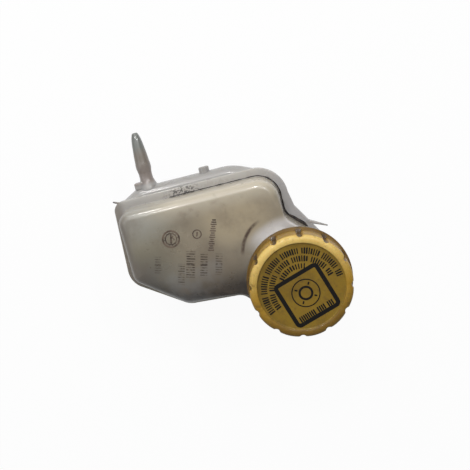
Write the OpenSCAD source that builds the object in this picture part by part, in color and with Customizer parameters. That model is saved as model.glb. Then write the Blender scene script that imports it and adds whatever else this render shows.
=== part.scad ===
// Brake fluid reservoir: two welded tank shells, a screw cap with a bellows, a strainer,
// a float with a level sensor, two outlet spigots and a sealed clutch nipple.
// The origin lies on the front outlet's axis, halfway along its straight seat. +Z is up.
// +X runs towards the filler cap and +Y towards the clutch nipple.

/* [Tank plan] */
// Side wall on the filler end, from the front outlet
tank_right_x = 25; // [22:0.5:30]
// Side wall on the far end, from the front outlet
tank_left_x = -66.5; // [-75:0.5:-64]
// Long wall on the nipple side
tank_far_y = 31; // [29:0.5:35]
// Long wall on the plain side
tank_near_y = -29.5; // [-34:0.5:-28]
// Where the left wall turns into the slanted corner
slant_start_y = -9; // [-14:0.5:-4]
// Where the slanted corner ends on the plain side
slant_end_x = -40; // [-46:0.5:-36]
// Corner radius beside the filler neck
corner_right_r = 13; // [12:0.5:16]
// Corner radius on the nipple side's far end
corner_left_r = 8; // [7.5:0.5:9]
// How far the lower shell bulges past the long wall on the nipple side
side_bulge = 8.7; // [6:0.1:10]

/* [Tank heights] */
// Depth of the lower shell's main chamber below the weld
lower_depth = 30; // [27:0.5:38]
// Depth of the shallow arm below the filler neck
arm_depth = 17; // [14:0.5:22]
// Height of the upper shell above the weld
upper_height = 21; // [18:0.5:26]
// Wall thickness of both shells
wall = 2; // [1.6:0.1:2.4]
// Edge radius under the main chamber
floor_edge_r = 7; // [5:0.5:9]
// How far the upper walls lean in
draft = 1; // [0.5:0.1:1.5]

/* [Weld flange] */
// Thickness of each shell's half of the flange
flange_t = 2; // [1.5:0.1:3]
// Flange width along the nipple side
flange_w = 4.6; // [3.5:0.1:6]
// Length of the thin tab beside the filler neck
tab_len = 7; // [5:0.5:9]

/* [Filler neck] */
// Neck axis from the front outlet along X
neck_x = 24; // [23:0.5:27]
// Neck axis from the front outlet along Y
neck_y = -27; // [-29:0.5:-26]
// Outer radius of the neck
neck_r = 22; // [21.5:0.1:22.4]
// Wall of the neck
neck_wall = 2.2; // [1.8:0.1:2.6]
// Height of the neck's rim above the weld
neck_top = 42; // [40:0.5:46]
// How far the tank's rounded end stands out past the neck
neck_margin = 2.5; // [2:0.1:4]
// Radius of the blend between the tank and the neck
neck_blend_r = 7; // [5:0.5:8]

/* [Cap] */
// Thickness of the cap's side over its grip lobes
cap_side_t = 3.4; // [3:0.1:4]
// How far the cap's base ring stands out past the lobes
cap_lip = 1.2; // [0.8:0.1:2]
// Height of the whole cap
cap_h = 20; // [18:0.5:22]
// Thickness of the cap's top plate
cap_top_t = 2.2; // [1.8:0.1:2.6]
// Width of the rim round the sunk disc in the cap's top
cap_rim_w = 4.7; // [4.2:0.1:5.5]
// Depth of the sunk disc below the rim
cap_disc_sink = 0.9; // [0.6:0.1:1.2]
// Number of grip lobes
lobe_count = 12; // [8:1:16]
// Radius of the notch between two lobes
notch_r = 1.7; // [1.3:0.1:2]

/* [Bellows and strainer] */
// Thickness of the rubber bellows
rubber_t = 1; // [0.8:0.1:1.2]
// Depth of the bellows below the neck's rim
bellows_depth = 12; // [9:0.5:13]
// Number of folds in the bellows
fold_count = 3; // [2:1:4]
// Depth of the shoulder that carries the strainer, below the neck's rim
strainer_seat = 16; // [15:0.5:18]
// Depth of the strainer basket below its rim
strainer_depth = 23; // [18:0.5:25]
// Number of upright ribs on the strainer
strainer_ribs = 8; // [6:1:12]

/* [Outlets and ears] */
// Distance between the two outlets
outlet_pitch = 44; // [38:0.5:48]
// Outer radius of each outlet spigot
outlet_r = 7; // [6:0.1:8]
// Inner radius of each outlet spigot
outlet_bore_r = 5; // [4:0.1:5.5]
// Length of the straight seat on each spigot
outlet_seat = 11; // [9:0.5:13]
// Radius of the cross pin hole in the ears
ear_hole_r = 3.1; // [2.5:0.1:3.5]
// Distance of each ear from the outlets' line
ear_offset = 6.5; // [5.5:0.5:6.5]

/* [Clutch nipple] */
// Place of the nipple along X
nipple_x = -47.5; // [-50:0.5:-44]
// Height of the nipple below the weld
nipple_drop = 8; // [7:0.5:10]
// Length of the nipple past the bulged wall
nipple_len = 31; // [26:0.5:34]
// Radius of the nipple's hose bead
nipple_bead_r = 4.3; // [4.1:0.1:4.8]

/* [Float and level sensor] */
// Place of the float's axis along X
float_x = -22; // [-24:0.5:-20]
// Place of the float's axis along Y
float_y = 18.5; // [18:0.5:19]
// Outer radius of the float
float_r = 11.5; // [10.5:0.5:12]
// Height of the float
float_h = 12; // [10:0.5:14]
// Outer radius of the guide tube
guide_r = 6; // [5.6:0.1:6.4]
// How far the float can rise
float_travel = 11; // [8:0.5:11]

/* [Hidden] */

$fn = 64;
eps = 0.01;

// Heights in the part's frame
outlet_collar = 1;
floor_z = outlet_seat / 2 + outlet_collar;
weld_z = floor_z + lower_depth;
floor_in_z = floor_z + wall;
top_z = weld_z + upper_height;
rim_z = weld_z + neck_top;
arm_z = weld_z - arm_depth;

// Turns of 45 degrees at the corners of the plan
bulge_r = neck_r + neck_margin;
half_turn = tan(22.5);
diagonal = sqrt(2);

// Plan of the upper walls: each corner is x, y, radius, counter-clockwise from the filler end.
// A corner marked RUNS_ON is the first part of a longer round that the next corner carries on.
RUNS_ON = 1;
right_split = corner_right_r * (1 - half_turn);
left_split = corner_left_r * (1 - half_turn);
bulge_diag = bulge_r * diagonal;
bulge_bottom = neck_y - bulge_r;
bulge_right = neck_x + bulge_r;
slant_r = 8;
slant_end_r = 10;
inner_corner_r = 12;
step_corner_r = 8;
UPPER = [
    [tank_right_x, tank_far_y - right_split, corner_right_r, RUNS_ON],
    [tank_right_x - right_split, tank_far_y, corner_right_r],
    [tank_left_x + left_split, tank_far_y, corner_left_r, RUNS_ON],
    [tank_left_x, tank_far_y - left_split, corner_left_r],
    [tank_left_x, slant_start_y, slant_r],
    [slant_end_x, tank_near_y, slant_end_r],
    [neck_x + neck_y - bulge_diag - tank_near_y, tank_near_y, inner_corner_r],
    [neck_x + neck_y - bulge_diag - bulge_bottom, bulge_bottom, bulge_r, RUNS_ON],
    [bulge_right, bulge_bottom, bulge_r, RUNS_ON],
    [bulge_right, neck_x + neck_y + bulge_diag - bulge_right, bulge_r],
    [tank_right_x, neck_x + neck_y + bulge_diag - tank_right_x, step_corner_r]];

// Flange width at each corner of the upper plan
flange_slim = flange_w - 2.1;
flange_left = flange_w - 1.2;
flange_neck = flange_w - 0.6;
FLANGE = [flange_neck, flange_w, flange_w, flange_left, flange_slim, flange_slim,
          flange_neck, flange_neck, flange_neck, flange_neck, flange_neck];

// Radius of the upper shell's top edge at each corner, widest beside the filler neck
neck_edge = bulge_r - draft - neck_r - 0.3;
TOP_EDGE = [10.5, 10.5, 5.5, 5, 6, 7.5, neck_edge, neck_edge, neck_edge, neck_edge, neck_edge];

// Plan of the lower shell's main chamber
lower_right_x = tank_right_x + 2;
bulge_y = tank_far_y + side_bulge;
bulge_end_x = 2;
bulge_end_r = 30;
bulge_end_drop = 11;
bulge_start_x = nipple_x - 6.5;
bulge_start_r = 8;
bulge_start_drop = 6.7;
LOWER = [
    [lower_right_x, bulge_y - bulge_end_drop, 9],
    [bulge_end_x, bulge_y, bulge_end_r],
    [bulge_start_x, bulge_y, bulge_start_r],
    [tank_left_x, bulge_y - bulge_start_drop, 6],
    [tank_left_x, slant_start_y, slant_r],
    [slant_end_x, tank_near_y, slant_end_r],
    [lower_right_x, tank_near_y, 14]];

// How far the shoulder under the flange stands back at each corner of the lower plan
shoulder_back = side_bulge - flange_w;
SHOULDER = [1.6, shoulder_back, shoulder_back, 0.6, 0, 0, 0];
shoulder_h = 7;
lower_draft = 2;

corner_steps = 5;
edge_steps = 4;
least_r = 1;
least_edge = 0.3;

function unit(v) = v / norm(v);
function pick(v, i) = is_list(v) ? v[i] : v;

// One rounded corner of a plan, moved outward by d
function corner(before, at, after, d) =
    let(here = [at.x, at.y],
        e1 = unit(here - [before.x, before.y]), e2 = unit([after.x, after.y] - here),
        n1 = [e1.y, -e1.x], n2 = [e2.y, -e2.x],
        turn = atan2(e1.x * e2.y - e1.y * e2.x, e1 * e2),
        side = turn < 0 ? -1 : 1,
        rr = max(at.z + side * d, least_r),
        lead = (n1 + n2) / (1 + n1 * n2),
        centre = here + lead * (d - side * rr),
        start = atan2(n1.y, n1.x),
        last = at[3] == RUNS_ON ? corner_steps - 1 : corner_steps)
    [for (k = [0 : last])
        let(a = start + turn * k / corner_steps)
        centre + side * rr * [cos(a), sin(a)]];

// A whole plan moved outward by d at height z, which may both differ from corner to corner
function ring(plan, d, z) =
    let(n = len(plan))
    [for (i = [0 : n - 1])
        each [for (p = corner(plan[(i + n - 1) % n], plan[i], plan[(i + 1) % n], pick(d, i)))
            [p.x, p.y, pick(z, i)]]];

function flat_plan(plan, d) = [for (p = ring(plan, d, 0)) [p.x, p.y]];

// A closed solid through rings from the bottom up
module loft(rings) {
    m = len(rings[0]);
    n = len(rings);
    points = [for (r = rings) each r];
    sides = [for (k = [0 : n - 2]) for (i = [0 : m - 1])
        [k * m + i, (k + 1) * m + i, (k + 1) * m + (i + 1) % m, k * m + (i + 1) % m]];
    bottom = [for (i = [0 : m - 1]) i];
    top = [for (i = [m - 1 : -1 : 0]) (n - 1) * m + i];
    polyhedron(points, concat([bottom], sides, [top]), convexity = 8);
}

// The upper walls from their foot to the top face, set in by skin
function upper_rings(skin, foot_z) =
    let(edges = [for (f = TOP_EDGE) max(f - skin, least_edge)])
    concat([ring(UPPER, -skin, foot_z)], [for (k = [0 : edge_steps])
        let(a = 90 * k / edge_steps)
        ring(UPPER,
            [for (e = edges) -skin - draft - e * (1 - cos(a))],
            [for (e = edges) top_z - skin - e * (1 - sin(a))])]);

function backwards(list) = [for (k = [len(list) - 1 : -1 : 0]) list[k]];

// Upper moulding: down the inside, out under the flange, and up the outside
module upper_moulding() {
    loft(concat(
        backwards(upper_rings(wall, weld_z)),
        [ring(UPPER, FLANGE, weld_z), ring(UPPER, FLANGE, weld_z + flange_t)],
        upper_rings(0, weld_z + flange_t)));
}

// The main chamber's walls from the floor up to the flange, set in by skin
function lower_rings(skin) =
    let(edge = floor_edge_r - skin)
    concat(
        [for (k = [0 : edge_steps])
            let(a = 90 * k / edge_steps)
            ring(LOWER, -skin - lower_draft - edge * (1 - sin(a)), floor_z + skin + edge * (1 - cos(a)))],
        [for (k = [0 : edge_steps])
            let(a = 90 * k / edge_steps)
            ring(LOWER, [for (s = SHOULDER) -skin - s * (1 - cos(a))],
                weld_z - flange_t - shoulder_h + shoulder_h * sin(a))],
        [ring(LOWER, [for (s = SHOULDER) -skin - s], weld_z - flange_t / 2)]);

// Lower moulding: up the outside of the main chamber and down its inside
module lower_moulding() {
    loft(concat(lower_rings(0), backwards(lower_rings(wall))));
}

// Plan of the shallow arm below the neck; it runs on into the main chamber by reach
function arm_plan(reach) = [
    [UPPER[6].x - reach, tank_near_y + reach, least_r], UPPER[7], UPPER[8], UPPER[9],
    [tank_right_x - reach, UPPER[10].y + reach, least_r], [UPPER[6].x - reach, UPPER[10].y + reach, least_r]];
arm_reach = 4;
module arm_outside() {
    translate([0, 0, arm_z]) linear_extrude(weld_z - flange_t / 2 - arm_z)
        polygon(flat_plan(arm_plan(arm_reach), 0));
}
module arm_inside() {
    translate([0, 0, arm_z + wall]) linear_extrude(weld_z - arm_z)
        polygon(flat_plan(arm_plan(3 * arm_reach), -wall));
}
// What the arm's floor and wall ends would close of the main chamber
module arm_way_out() {
    ledge = 0.3;
    translate([0, 0, arm_z - 1]) linear_extrude(weld_z - arm_z + 1) intersection() {
        polygon(flat_plan(LOWER, -wall - lower_draft - ledge));
        translate([tank_left_x, 2 * tank_near_y]) square([2 * bulge_right, UPPER[10].y + 2 * arm_reach - 2 * tank_near_y]);
    }
}
// The lower half of the flange, with a small weld bead inside
weld_bead = 0.5;
module lower_flange() {
    translate([0, 0, weld_z - flange_t]) linear_extrude(flange_t) difference() {
        polygon(flat_plan(UPPER, FLANGE));
        polygon(flat_plan(UPPER, -wall - weld_bead));
    }
}

module at_neck() { translate([neck_x, neck_y, 0]) children(); }
module at_float() { translate([float_x, float_y, 0]) children(); }

// Neck, strainer seat and the blend around the neck's foot
neck_in_r = neck_r - neck_wall;
seat_lip = 1.8;
seat_z = rim_z - strainer_seat;
seat_r = neck_in_r - seat_lip;
neck_foot = wall / 2;
blend_steps = 6;
blend_sink = 0.2;
blend_inset = 4;
BLEND_PLAN = [
    UPPER[0], UPPER[1], UPPER[2], UPPER[3], UPPER[4], UPPER[5], UPPER[6], UPPER[7],
    [neck_x + bulge_r * half_turn, bulge_bottom, 0], [bulge_right, neck_y - bulge_r * half_turn, 0],
    UPPER[9], UPPER[10]];
function sharp_plan(plan, d) =
    let(n = len(plan))
    [for (i = [0 : n - 1])
        let(at = [plan[i].x, plan[i].y],
            e1 = unit(at - [plan[(i + n - 1) % n].x, plan[(i + n - 1) % n].y]),
            e2 = unit([plan[(i + 1) % n].x, plan[(i + 1) % n].y] - at),
            n1 = [e1.y, -e1.x], n2 = [e2.y, -e2.x])
        at + (n1 + n2) / (1 + n1 * n2) * d];
module neck_blend() {
    reach = neck_r + neck_blend_r - blend_sink;
    low_z = top_z - wall / 3;
    intersection() {
        translate([0, 0, low_z - 1]) linear_extrude(neck_blend_r + 3)
            polygon(sharp_plan(BLEND_PLAN, -blend_inset));
        at_neck() rotate_extrude() polygon(concat(
            [[neck_in_r + neck_wall / 2, low_z], [reach, low_z]],
            [for (k = [0 : blend_steps])
                let(a = 90 * k / blend_steps)
                [reach - neck_blend_r * sin(a), top_z - blend_sink + neck_blend_r * (1 - cos(a))]],
            [[neck_in_r + neck_wall / 2, top_z - blend_sink + neck_blend_r]]));
    }
}

module upper_shell() {
    color([0.80, 0.77, 0.69, 0.85]) difference() {
        union() {
            upper_moulding();
            neck_blend();
            at_neck() translate([0, 0, top_z - neck_foot]) cylinder(r = neck_r, h = rim_z - top_z + neck_foot);
            flange_tab();
            corner_pip();
        }
        at_neck() translate([0, 0, seat_z]) cylinder(r = neck_in_r, h = rim_z - seat_z + 1);
        at_neck() translate([0, 0, weld_z + 1]) cylinder(r = seat_r, h = rim_z - weld_z);
    }
}

// The thin tab on the flange beside the neck
tab_t = 1.2;
tab_w = 1.6;
tab_lift = 0.4;
tab_angle = -28;
tab_at = 57;
module flange_tab() {
    foot_r = bulge_r + flange_neck - tab_w;
    translate([neck_x + foot_r * cos(tab_at), neck_y + foot_r * sin(tab_at), weld_z + tab_lift])
        rotate([0, 0, tab_angle]) cube([tab_len, tab_w, tab_t]);
}

// The small pip at the flange's far corner
pip_len = 2.5;
pip_r = 0.8;
module corner_pip() {
    translate([tank_left_x - flange_left + pip_r, tank_far_y + flange_w - corner_left_r, weld_z + flange_t / 2])
        rotate([0, -90, 0]) cylinder(r = pip_r, h = pip_len, $fn = 24);
}

// Two spigots with a tapered lead and a low collar, drilled into the main chamber
lead = 2.5;
lead_in = 0.8;
collar_r = outlet_r + 2;
module outlet_at(x) {
    translate([x, 0, 0]) {
        translate([0, 0, -outlet_seat / 2]) cylinder(r = outlet_r, h = outlet_seat + outlet_collar + wall / 2);
        translate([0, 0, -outlet_seat / 2 - lead]) cylinder(r1 = outlet_r - lead_in, r2 = outlet_r, h = lead);
        translate([0, 0, outlet_seat / 2]) cylinder(r = collar_r, h = outlet_collar + wall / 2);
    }
}
module outlet_hole(x) {
    translate([x, 0, -outlet_seat / 2 - lead - 1]) cylinder(r = outlet_bore_r, h = outlet_seat + lead + 1 + floor_in_z);
}

// Two ears under the floor with a hole for the cross pin
ear_t = 3;
ear_w = 13;
ear_drop = 5.5;
ear_end_r = ear_w / 2;
module ear(side) {
    ear_x = -outlet_pitch / 2;
    y = side > 0 ? ear_offset : -ear_offset - ear_t;
    difference() {
        translate([ear_x, y, 0]) union() {
            translate([-ear_w / 2, 0, -ear_drop]) cube([ear_w, ear_t, floor_z + wall / 2 + ear_drop]);
            translate([0, ear_t, -ear_drop]) rotate([90, 0, 0]) cylinder(r = ear_end_r, h = ear_t);
        }
        translate([ear_x, y - 1, -ear_drop]) rotate([-90, 0, 0]) cylinder(r = ear_hole_r, h = ear_t + 2);
    }
}

// The clutch nipple: a tapered blind tube with a hose bead, closed by its moulded tip
nipple_z = weld_z - nipple_drop;
nipple_bore_r = 2;
nipple_neck_r = nipple_bead_r - 0.5;
nipple_tip_r = 1.7;
nipple_root = 3;
module nipple_solid() {
    l = nipple_len;
    translate([nipple_x, bulge_y, nipple_z]) rotate([-90, 0, 0]) rotate_extrude() polygon([
        [0, -nipple_root], [nipple_bead_r + 1.2, -nipple_root], [nipple_bead_r + 1.2, 0],
        [nipple_neck_r + 0.5, 2.2], [nipple_neck_r, 4], [nipple_neck_r, 7.5], [nipple_bead_r, 10.5],
        [nipple_bead_r, 13], [nipple_neck_r + 0.2, 16.5], [3.5, l * 0.7], [2.9, l * 0.86],
        [nipple_tip_r + 0.4, l * 0.95], [nipple_tip_r, l - 0.6], [nipple_tip_r - 0.7, l], [0, l]]);
}
module nipple_hole() {
    translate([nipple_x, bulge_y - nipple_root - 1, nipple_z]) rotate([-90, 0, 0])
        cylinder(r = nipple_bore_r, h = nipple_root + 1 + nipple_len * 0.64);
}
module nipple_pad() {
    pad = 7.5;
    translate([nipple_x - pad, bulge_y - wall / 2, nipple_z - pad / 2]) cube([pad, wall / 2 + 3, pad]);
}

// A short blind stub on the bulged wall
stub_r = 3;
stub_len = 2.8;
stub_from_nipple = 33.3;
module side_stub() {
    translate([nipple_x + stub_from_nipple, bulge_y - stub_r, nipple_z]) rotate([-90, 0, 0]) difference() {
        cylinder(r = stub_r, h = stub_r + stub_len);
        translate([0, 0, stub_r]) cylinder(r = stub_r - 1, h = stub_len + 1);
    }
}

// Guide tube, float chamber wall and cross baffle inside the main chamber
guide_bore_r = 4.3;
guide_cap_t = 1.6;
float_gap = 0.6;
float_foot = 1.5;
foot_w = 1.6;
float_z = floor_in_z + float_foot;
stop_t = 1.6;
stop_w = 2.2;
stop_z = float_z + float_h + float_travel;
guide_top_z = stop_z + stop_t + 1.5;
chamber_r = float_r + 3;
chamber_t = 1.4;
chamber_h = 18;
chamber_open = 2;
baffle_t = 1.5;
baffle_h = 20;
baffle_slot = 8;
module guide_tube() {
    at_float() {
        translate([0, 0, floor_z + wall / 2]) cylinder(r = guide_r, h = guide_top_z - floor_z - wall / 2);
        for (a = [0 : 120 : 240]) rotate([0, 0, a + 90])
            translate([guide_r - 0.5, -foot_w / 2, floor_in_z - 0.5])
                cube([float_r - guide_r - 1.5, foot_w, float_foot + 0.5]);
    }
}
module chamber_wall() {
    translate([0, 0, floor_in_z - 0.5]) at_float() difference() {
        cylinder(r = chamber_r + chamber_t, h = chamber_h);
        translate([0, 0, -1]) cylinder(r = chamber_r, h = chamber_h + 2);
        translate([-2 * chamber_r, -chamber_open, -1]) cube([4 * chamber_r, 3 * chamber_r, chamber_h + 2]);
    }
}
module cross_baffle() {
    foot_y = tank_near_y + lower_draft + floor_edge_r;
    foot_z = floor_z + floor_edge_r;
    r = floor_edge_r - wall / 2;
    end_y = float_y - chamber_r - chamber_t / 2;
    translate([-outlet_pitch / 2 - baffle_t / 2, 0, 0]) rotate([90, 0, 90]) linear_extrude(baffle_t)
        difference() {
            polygon(concat(
                [for (k = [0 : 4]) let(a = 22.5 * k) [foot_y - r * cos(a), foot_z - r * sin(a)]],
                [[end_y, foot_z - r], [end_y, floor_in_z + baffle_h], [foot_y - r, floor_in_z + baffle_h]]));
            translate([foot_y + 2, floor_in_z - 2]) square([baffle_slot, 6]);
        }
}

// Socket under the floor for the level sensor
socket_r = 7;
socket_wall = 1.5;
socket_drop = 5;
module sensor_socket() {
    at_float() translate([0, 0, floor_z - socket_drop]) cylinder(r = socket_r + socket_wall, h = socket_drop + wall / 2);
}
module sensor_space() {
    at_float() {
        translate([0, 0, floor_z - socket_drop - 1]) cylinder(r = socket_r, h = socket_drop + 1);
        translate([0, 0, floor_z - 1]) cylinder(r = guide_bore_r, h = guide_top_z - guide_cap_t - floor_z + 1);
    }
}

module lower_shell() {
    color([0.74, 0.70, 0.61, 0.9]) difference() {
        union() {
            difference() {
                union() {
                    lower_moulding();
                    arm_outside();
                }
                arm_inside();
                arm_way_out();
            }
            lower_flange();
            nipple_solid();
            nipple_pad();
            side_stub();
            guide_tube();
            chamber_wall();
            cross_baffle();
            outlet_at(0);
            outlet_at(-outlet_pitch);
            ear(1);
            ear(-1);
            sensor_socket();
        }
        outlet_hole(0);
        outlet_hole(-outlet_pitch);
        nipple_hole();
        sensor_space();
    }
}

// Cap: a turned form with a sunk disc, cut by the notches between the lobes
cap_top_z = rim_z + rubber_t + cap_top_t + cap_disc_sink;
cap_base_z = cap_top_z - cap_h;
thread_room = 2.2;
cap_skirt_r = neck_r + thread_room;
cap_grip_r = cap_skirt_r + cap_side_t;
cap_base_r = cap_grip_r + cap_lip;
cap_disc_r = cap_grip_r - cap_rim_w;
cap_ring_h = 2.6;
cap_rim_r = 2.4;
cap_plate_z = rim_z + rubber_t;
notch_depth = 1.5;
notch_turn = 18.5;
module cap_profile() {
    side_top_r = cap_grip_r - 0.5;
    polygon(concat(
        [[0, cap_plate_z], [cap_skirt_r, cap_plate_z], [cap_skirt_r, cap_base_z], [cap_base_r, cap_base_z],
         [cap_base_r, cap_base_z + cap_ring_h - 0.6], [cap_grip_r + 0.5, cap_base_z + cap_ring_h],
         [cap_grip_r, cap_base_z + cap_ring_h + 1]],
        [for (k = [0 : 5])
            let(a = 18 * k)
            [side_top_r - cap_rim_r + cap_rim_r * cos(a), cap_top_z - cap_rim_r + cap_rim_r * sin(a)]],
        [[cap_disc_r + 0.7, cap_top_z], [cap_disc_r, cap_top_z - cap_disc_sink],
         [0, cap_top_z - cap_disc_sink]]));
}
module cap_shell() {
    color([0.80, 0.62, 0.13]) at_neck() difference() {
        rotate_extrude($fn = 96) cap_profile();
        for (i = [0 : lobe_count - 1])
            rotate([0, 0, 360 / lobe_count * i + notch_turn])
                translate([cap_grip_r + notch_r - notch_depth, 0, cap_base_z + cap_ring_h])
                    cylinder(r = notch_r, h = cap_h, $fn = 24);
    }
}

// Disc that holds the bellows in the cap, with a ring and a breathing hole
insert_r = neck_in_r - 2.4;
insert_gap = 0.2;
insert_t = 1.2;
insert_ring_h = 3.5;
vent_r = 2.5;
module cap_insert() {
    color([0.88, 0.86, 0.80]) at_neck() translate([0, 0, cap_plate_z]) difference() {
        union() {
            translate([0, 0, -insert_t]) cylinder(r = insert_r - insert_gap, h = insert_t);
            translate([0, 0, -insert_t - insert_ring_h])
                cylinder(r = insert_r - insert_gap - 1.6, h = insert_ring_h + 0.5);
        }
        translate([0, 0, -insert_t - insert_ring_h - 1])
            cylinder(r = insert_r - insert_gap - 3, h = insert_ring_h + 1);
        translate([0, 0, -insert_t - 1]) cylinder(r = vent_r, h = insert_t + 2);
    }
}
vent_gap = 0.2;
vent_t = 0.9;
module vent_disc() {
    color([0.12, 0.12, 0.12]) at_neck() translate([0, 0, cap_plate_z - insert_t - vent_t]) difference() {
        cylinder(r = vent_r + 2.5, h = vent_t);
        for (a = [0 : 90 : 270]) rotate([0, 0, a]) translate([vent_r + 1, 0, -1])
            cylinder(r = 0.5, h = vent_t + 2, $fn = 24);
    }
}

// Bellows: a flat seal on the neck's rim and folds that hang down inside it
fold_out_r = neck_in_r - 0.8;
fold_in_r = fold_out_r - 2.2;
function fold_r(k) = k % 2 == 0 ? fold_out_r : fold_in_r;
module bellows() {
    n = fold_count * 2;
    low_z = rim_z - bellows_depth;
    step = (bellows_depth - rubber_t) / n;
    walls = [for (k = [0 : n]) [fold_r(k), rim_z - step * k]];
    color([0.10, 0.10, 0.11]) at_neck() rotate_extrude() polygon(concat(
        [[neck_r - 0.2, rim_z], [neck_r - 0.2, rim_z + rubber_t], [insert_r, rim_z + rubber_t]],
        [[insert_r, rim_z - rubber_t * 0.2]],
        [for (k = [1 : n]) [walls[k].x - rubber_t, walls[k].y]],
        [[0, low_z + rubber_t], [0, low_z], [walls[n].x, low_z]],
        [for (k = [n : -1 : 0]) [walls[k].x, walls[k].y]]));
}

// Strainer: a rim on the neck's shoulder, upright ribs, a floor and fine mesh inside them
strainer_gap = 0.3;
strainer_r = seat_r - strainer_gap;
strainer_rim_t = 1.5;
rib_w = 2;
rib_t = 1.4;
mesh_t = 0.4;
strainer_low_z = seat_z - strainer_depth;
mesh_r = strainer_r - rib_t;
window_h = (strainer_depth - 3 * rib_w) / 2;
module strainer_frame() {
    color([0.86, 0.85, 0.80]) at_neck() {
        translate([0, 0, seat_z]) difference() {
            cylinder(r = neck_in_r - strainer_gap, h = strainer_rim_t);
            translate([0, 0, -1]) cylinder(r = mesh_r, h = strainer_rim_t + 2);
        }
        translate([0, 0, strainer_low_z]) difference() {
            cylinder(r = strainer_r, h = seat_z - strainer_low_z + eps);
            translate([0, 0, -1]) cylinder(r = mesh_r, h = seat_z - strainer_low_z + 2);
            for (i = [0 : strainer_ribs - 1], row = [0, 1]) rotate([0, 0, 360 / strainer_ribs * i])
                translate([0, rib_w / 2, rib_w + row * (window_h + rib_w)]) cube([strainer_r + 1,
                    2 * mesh_r * sin(180 / strainer_ribs) - rib_w, window_h]);
        }
        translate([0, 0, strainer_low_z]) intersection() {
            cylinder(r = mesh_r + rib_t / 4, h = rib_t);
            union() {
                translate([-mesh_r - 1, -rib_w / 2, 0]) cube([2 * mesh_r + 2, rib_w, rib_t]);
                translate([-rib_w / 2, -mesh_r - 1, 0]) cube([rib_w, 2 * mesh_r + 2, rib_t]);
            }
        }
    }
}
module strainer_mesh() {
    color([0.93, 0.93, 0.90]) at_neck() translate([0, 0, strainer_low_z + rib_t]) difference() {
        cylinder(r = mesh_r, h = seat_z - strainer_low_z - rib_t);
        translate([0, 0, mesh_t]) cylinder(r = mesh_r - mesh_t, h = seat_z - strainer_low_z);
    }
}

// Float: a hollow ring closed by a cover, with the magnet under it
float_in_r = guide_r + float_gap;
magnet_h = 3;
magnet_r = float_in_r + 2.5;
cover_t = 1.5;
float_wall = 1.4;
module float_body() {
    color([0.92, 0.90, 0.82]) at_float() translate([0, 0, float_z]) difference() {
        cylinder(r = float_r, h = float_h - cover_t);
        translate([0, 0, -1]) cylinder(r = float_in_r, h = float_h + 2);
        translate([0, 0, -1]) cylinder(r = magnet_r, h = magnet_h + 1);
        translate([0, 0, magnet_h + float_wall]) difference() {
            cylinder(r = float_r - float_wall, h = float_h);
            translate([0, 0, -1]) cylinder(r = float_in_r + float_wall, h = float_h + 2);
        }
    }
}
module float_cover() {
    color([0.88, 0.85, 0.76]) at_float() translate([0, 0, float_z + float_h - cover_t]) difference() {
        cylinder(r = float_r, h = cover_t);
        translate([0, 0, -1]) cylinder(r = float_in_r, h = cover_t + 2);
    }
}
module float_magnet() {
    color([0.15, 0.15, 0.16]) at_float() translate([0, 0, float_z]) difference() {
        cylinder(r = magnet_r, h = magnet_h);
        translate([0, 0, -1]) cylinder(r = float_in_r, h = magnet_h + 2);
    }
}
module float_stop() {
    color([0.86, 0.85, 0.80]) at_float() translate([0, 0, stop_z]) difference() {
        cylinder(r = guide_r + stop_w, h = stop_t);
        translate([0, 0, -1]) cylinder(r = guide_r, h = stop_t + 2);
    }
}

// Level sensor: a stem in the guide tube and a head in the socket, with a plug shroud
stem_gap = 0.2;
head_gap = 0.2;
seal_h = 2;
seal_z = floor_z - seal_h;
seal_r = 6.4;
stem_r = guide_bore_r - stem_gap;
stem_top_z = guide_top_z - guide_cap_t - 1;
stem_in_z = stem_top_z - 1;
head_r = socket_r - head_gap;
shroud_len = 24;
plug_depth = 13;
shroud_w = 17;
shroud_h = 11;
shroud_wall = 1.5;
shroud_top_z = floor_z - socket_drop - 0.6;
cavity_z = shroud_top_z - shroud_h + shroud_wall;
reed_r = 1.3;
reed_gap = 0.2;
reed_x = 1.2;
lead_r = 0.35;
lead_x = -2.2;
lead_gap = 0.2;
module sensor_housing() {
    color([0.13, 0.13, 0.14]) at_float() difference() {
        union() {
            translate([0, 0, seal_z]) cylinder(r = stem_r, h = stem_top_z - seal_z);
            translate([0, 0, shroud_top_z]) cylinder(r = head_r, h = seal_z - shroud_top_z);
            translate([0, 0, shroud_top_z - shroud_h]) cylinder(r = head_r, h = shroud_h);
            translate([-shroud_len, -shroud_w / 2, shroud_top_z - shroud_h])
                cube([shroud_len, shroud_w, shroud_h]);
        }
        translate([-shroud_len - 1, -shroud_w / 2 + shroud_wall, cavity_z])
            cube([plug_depth + 1, shroud_w - 2 * shroud_wall, shroud_h - 2 * shroud_wall]);
        translate([reed_x, 0, reed_low_z]) cylinder(r = reed_r + reed_gap, h = stem_in_z - reed_low_z);
        translate([lead_x, 0, cavity_z + 1]) cylinder(r = lead_r + lead_gap, h = stem_in_z - cavity_z - 1, $fn = 24);
        translate([reed_x, 0, cavity_z + 1]) cylinder(r = lead_r + lead_gap, h = reed_low_z - cavity_z, $fn = 24);
        translate([lead_x, -lead_r - lead_gap, reed_top_z + 1])
            cube([reed_x - lead_x, 2 * (lead_r + lead_gap), stem_in_z - reed_top_z - 1]);
        blade(1);
        blade(-1);
    }
}
module sensor_seal() {
    color([0.08, 0.08, 0.08]) at_float() translate([0, 0, seal_z]) difference() {
        cylinder(r = seal_r, h = seal_h);
        translate([0, 0, -1]) cylinder(r = stem_r, h = seal_h + 2);
    }
}

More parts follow.
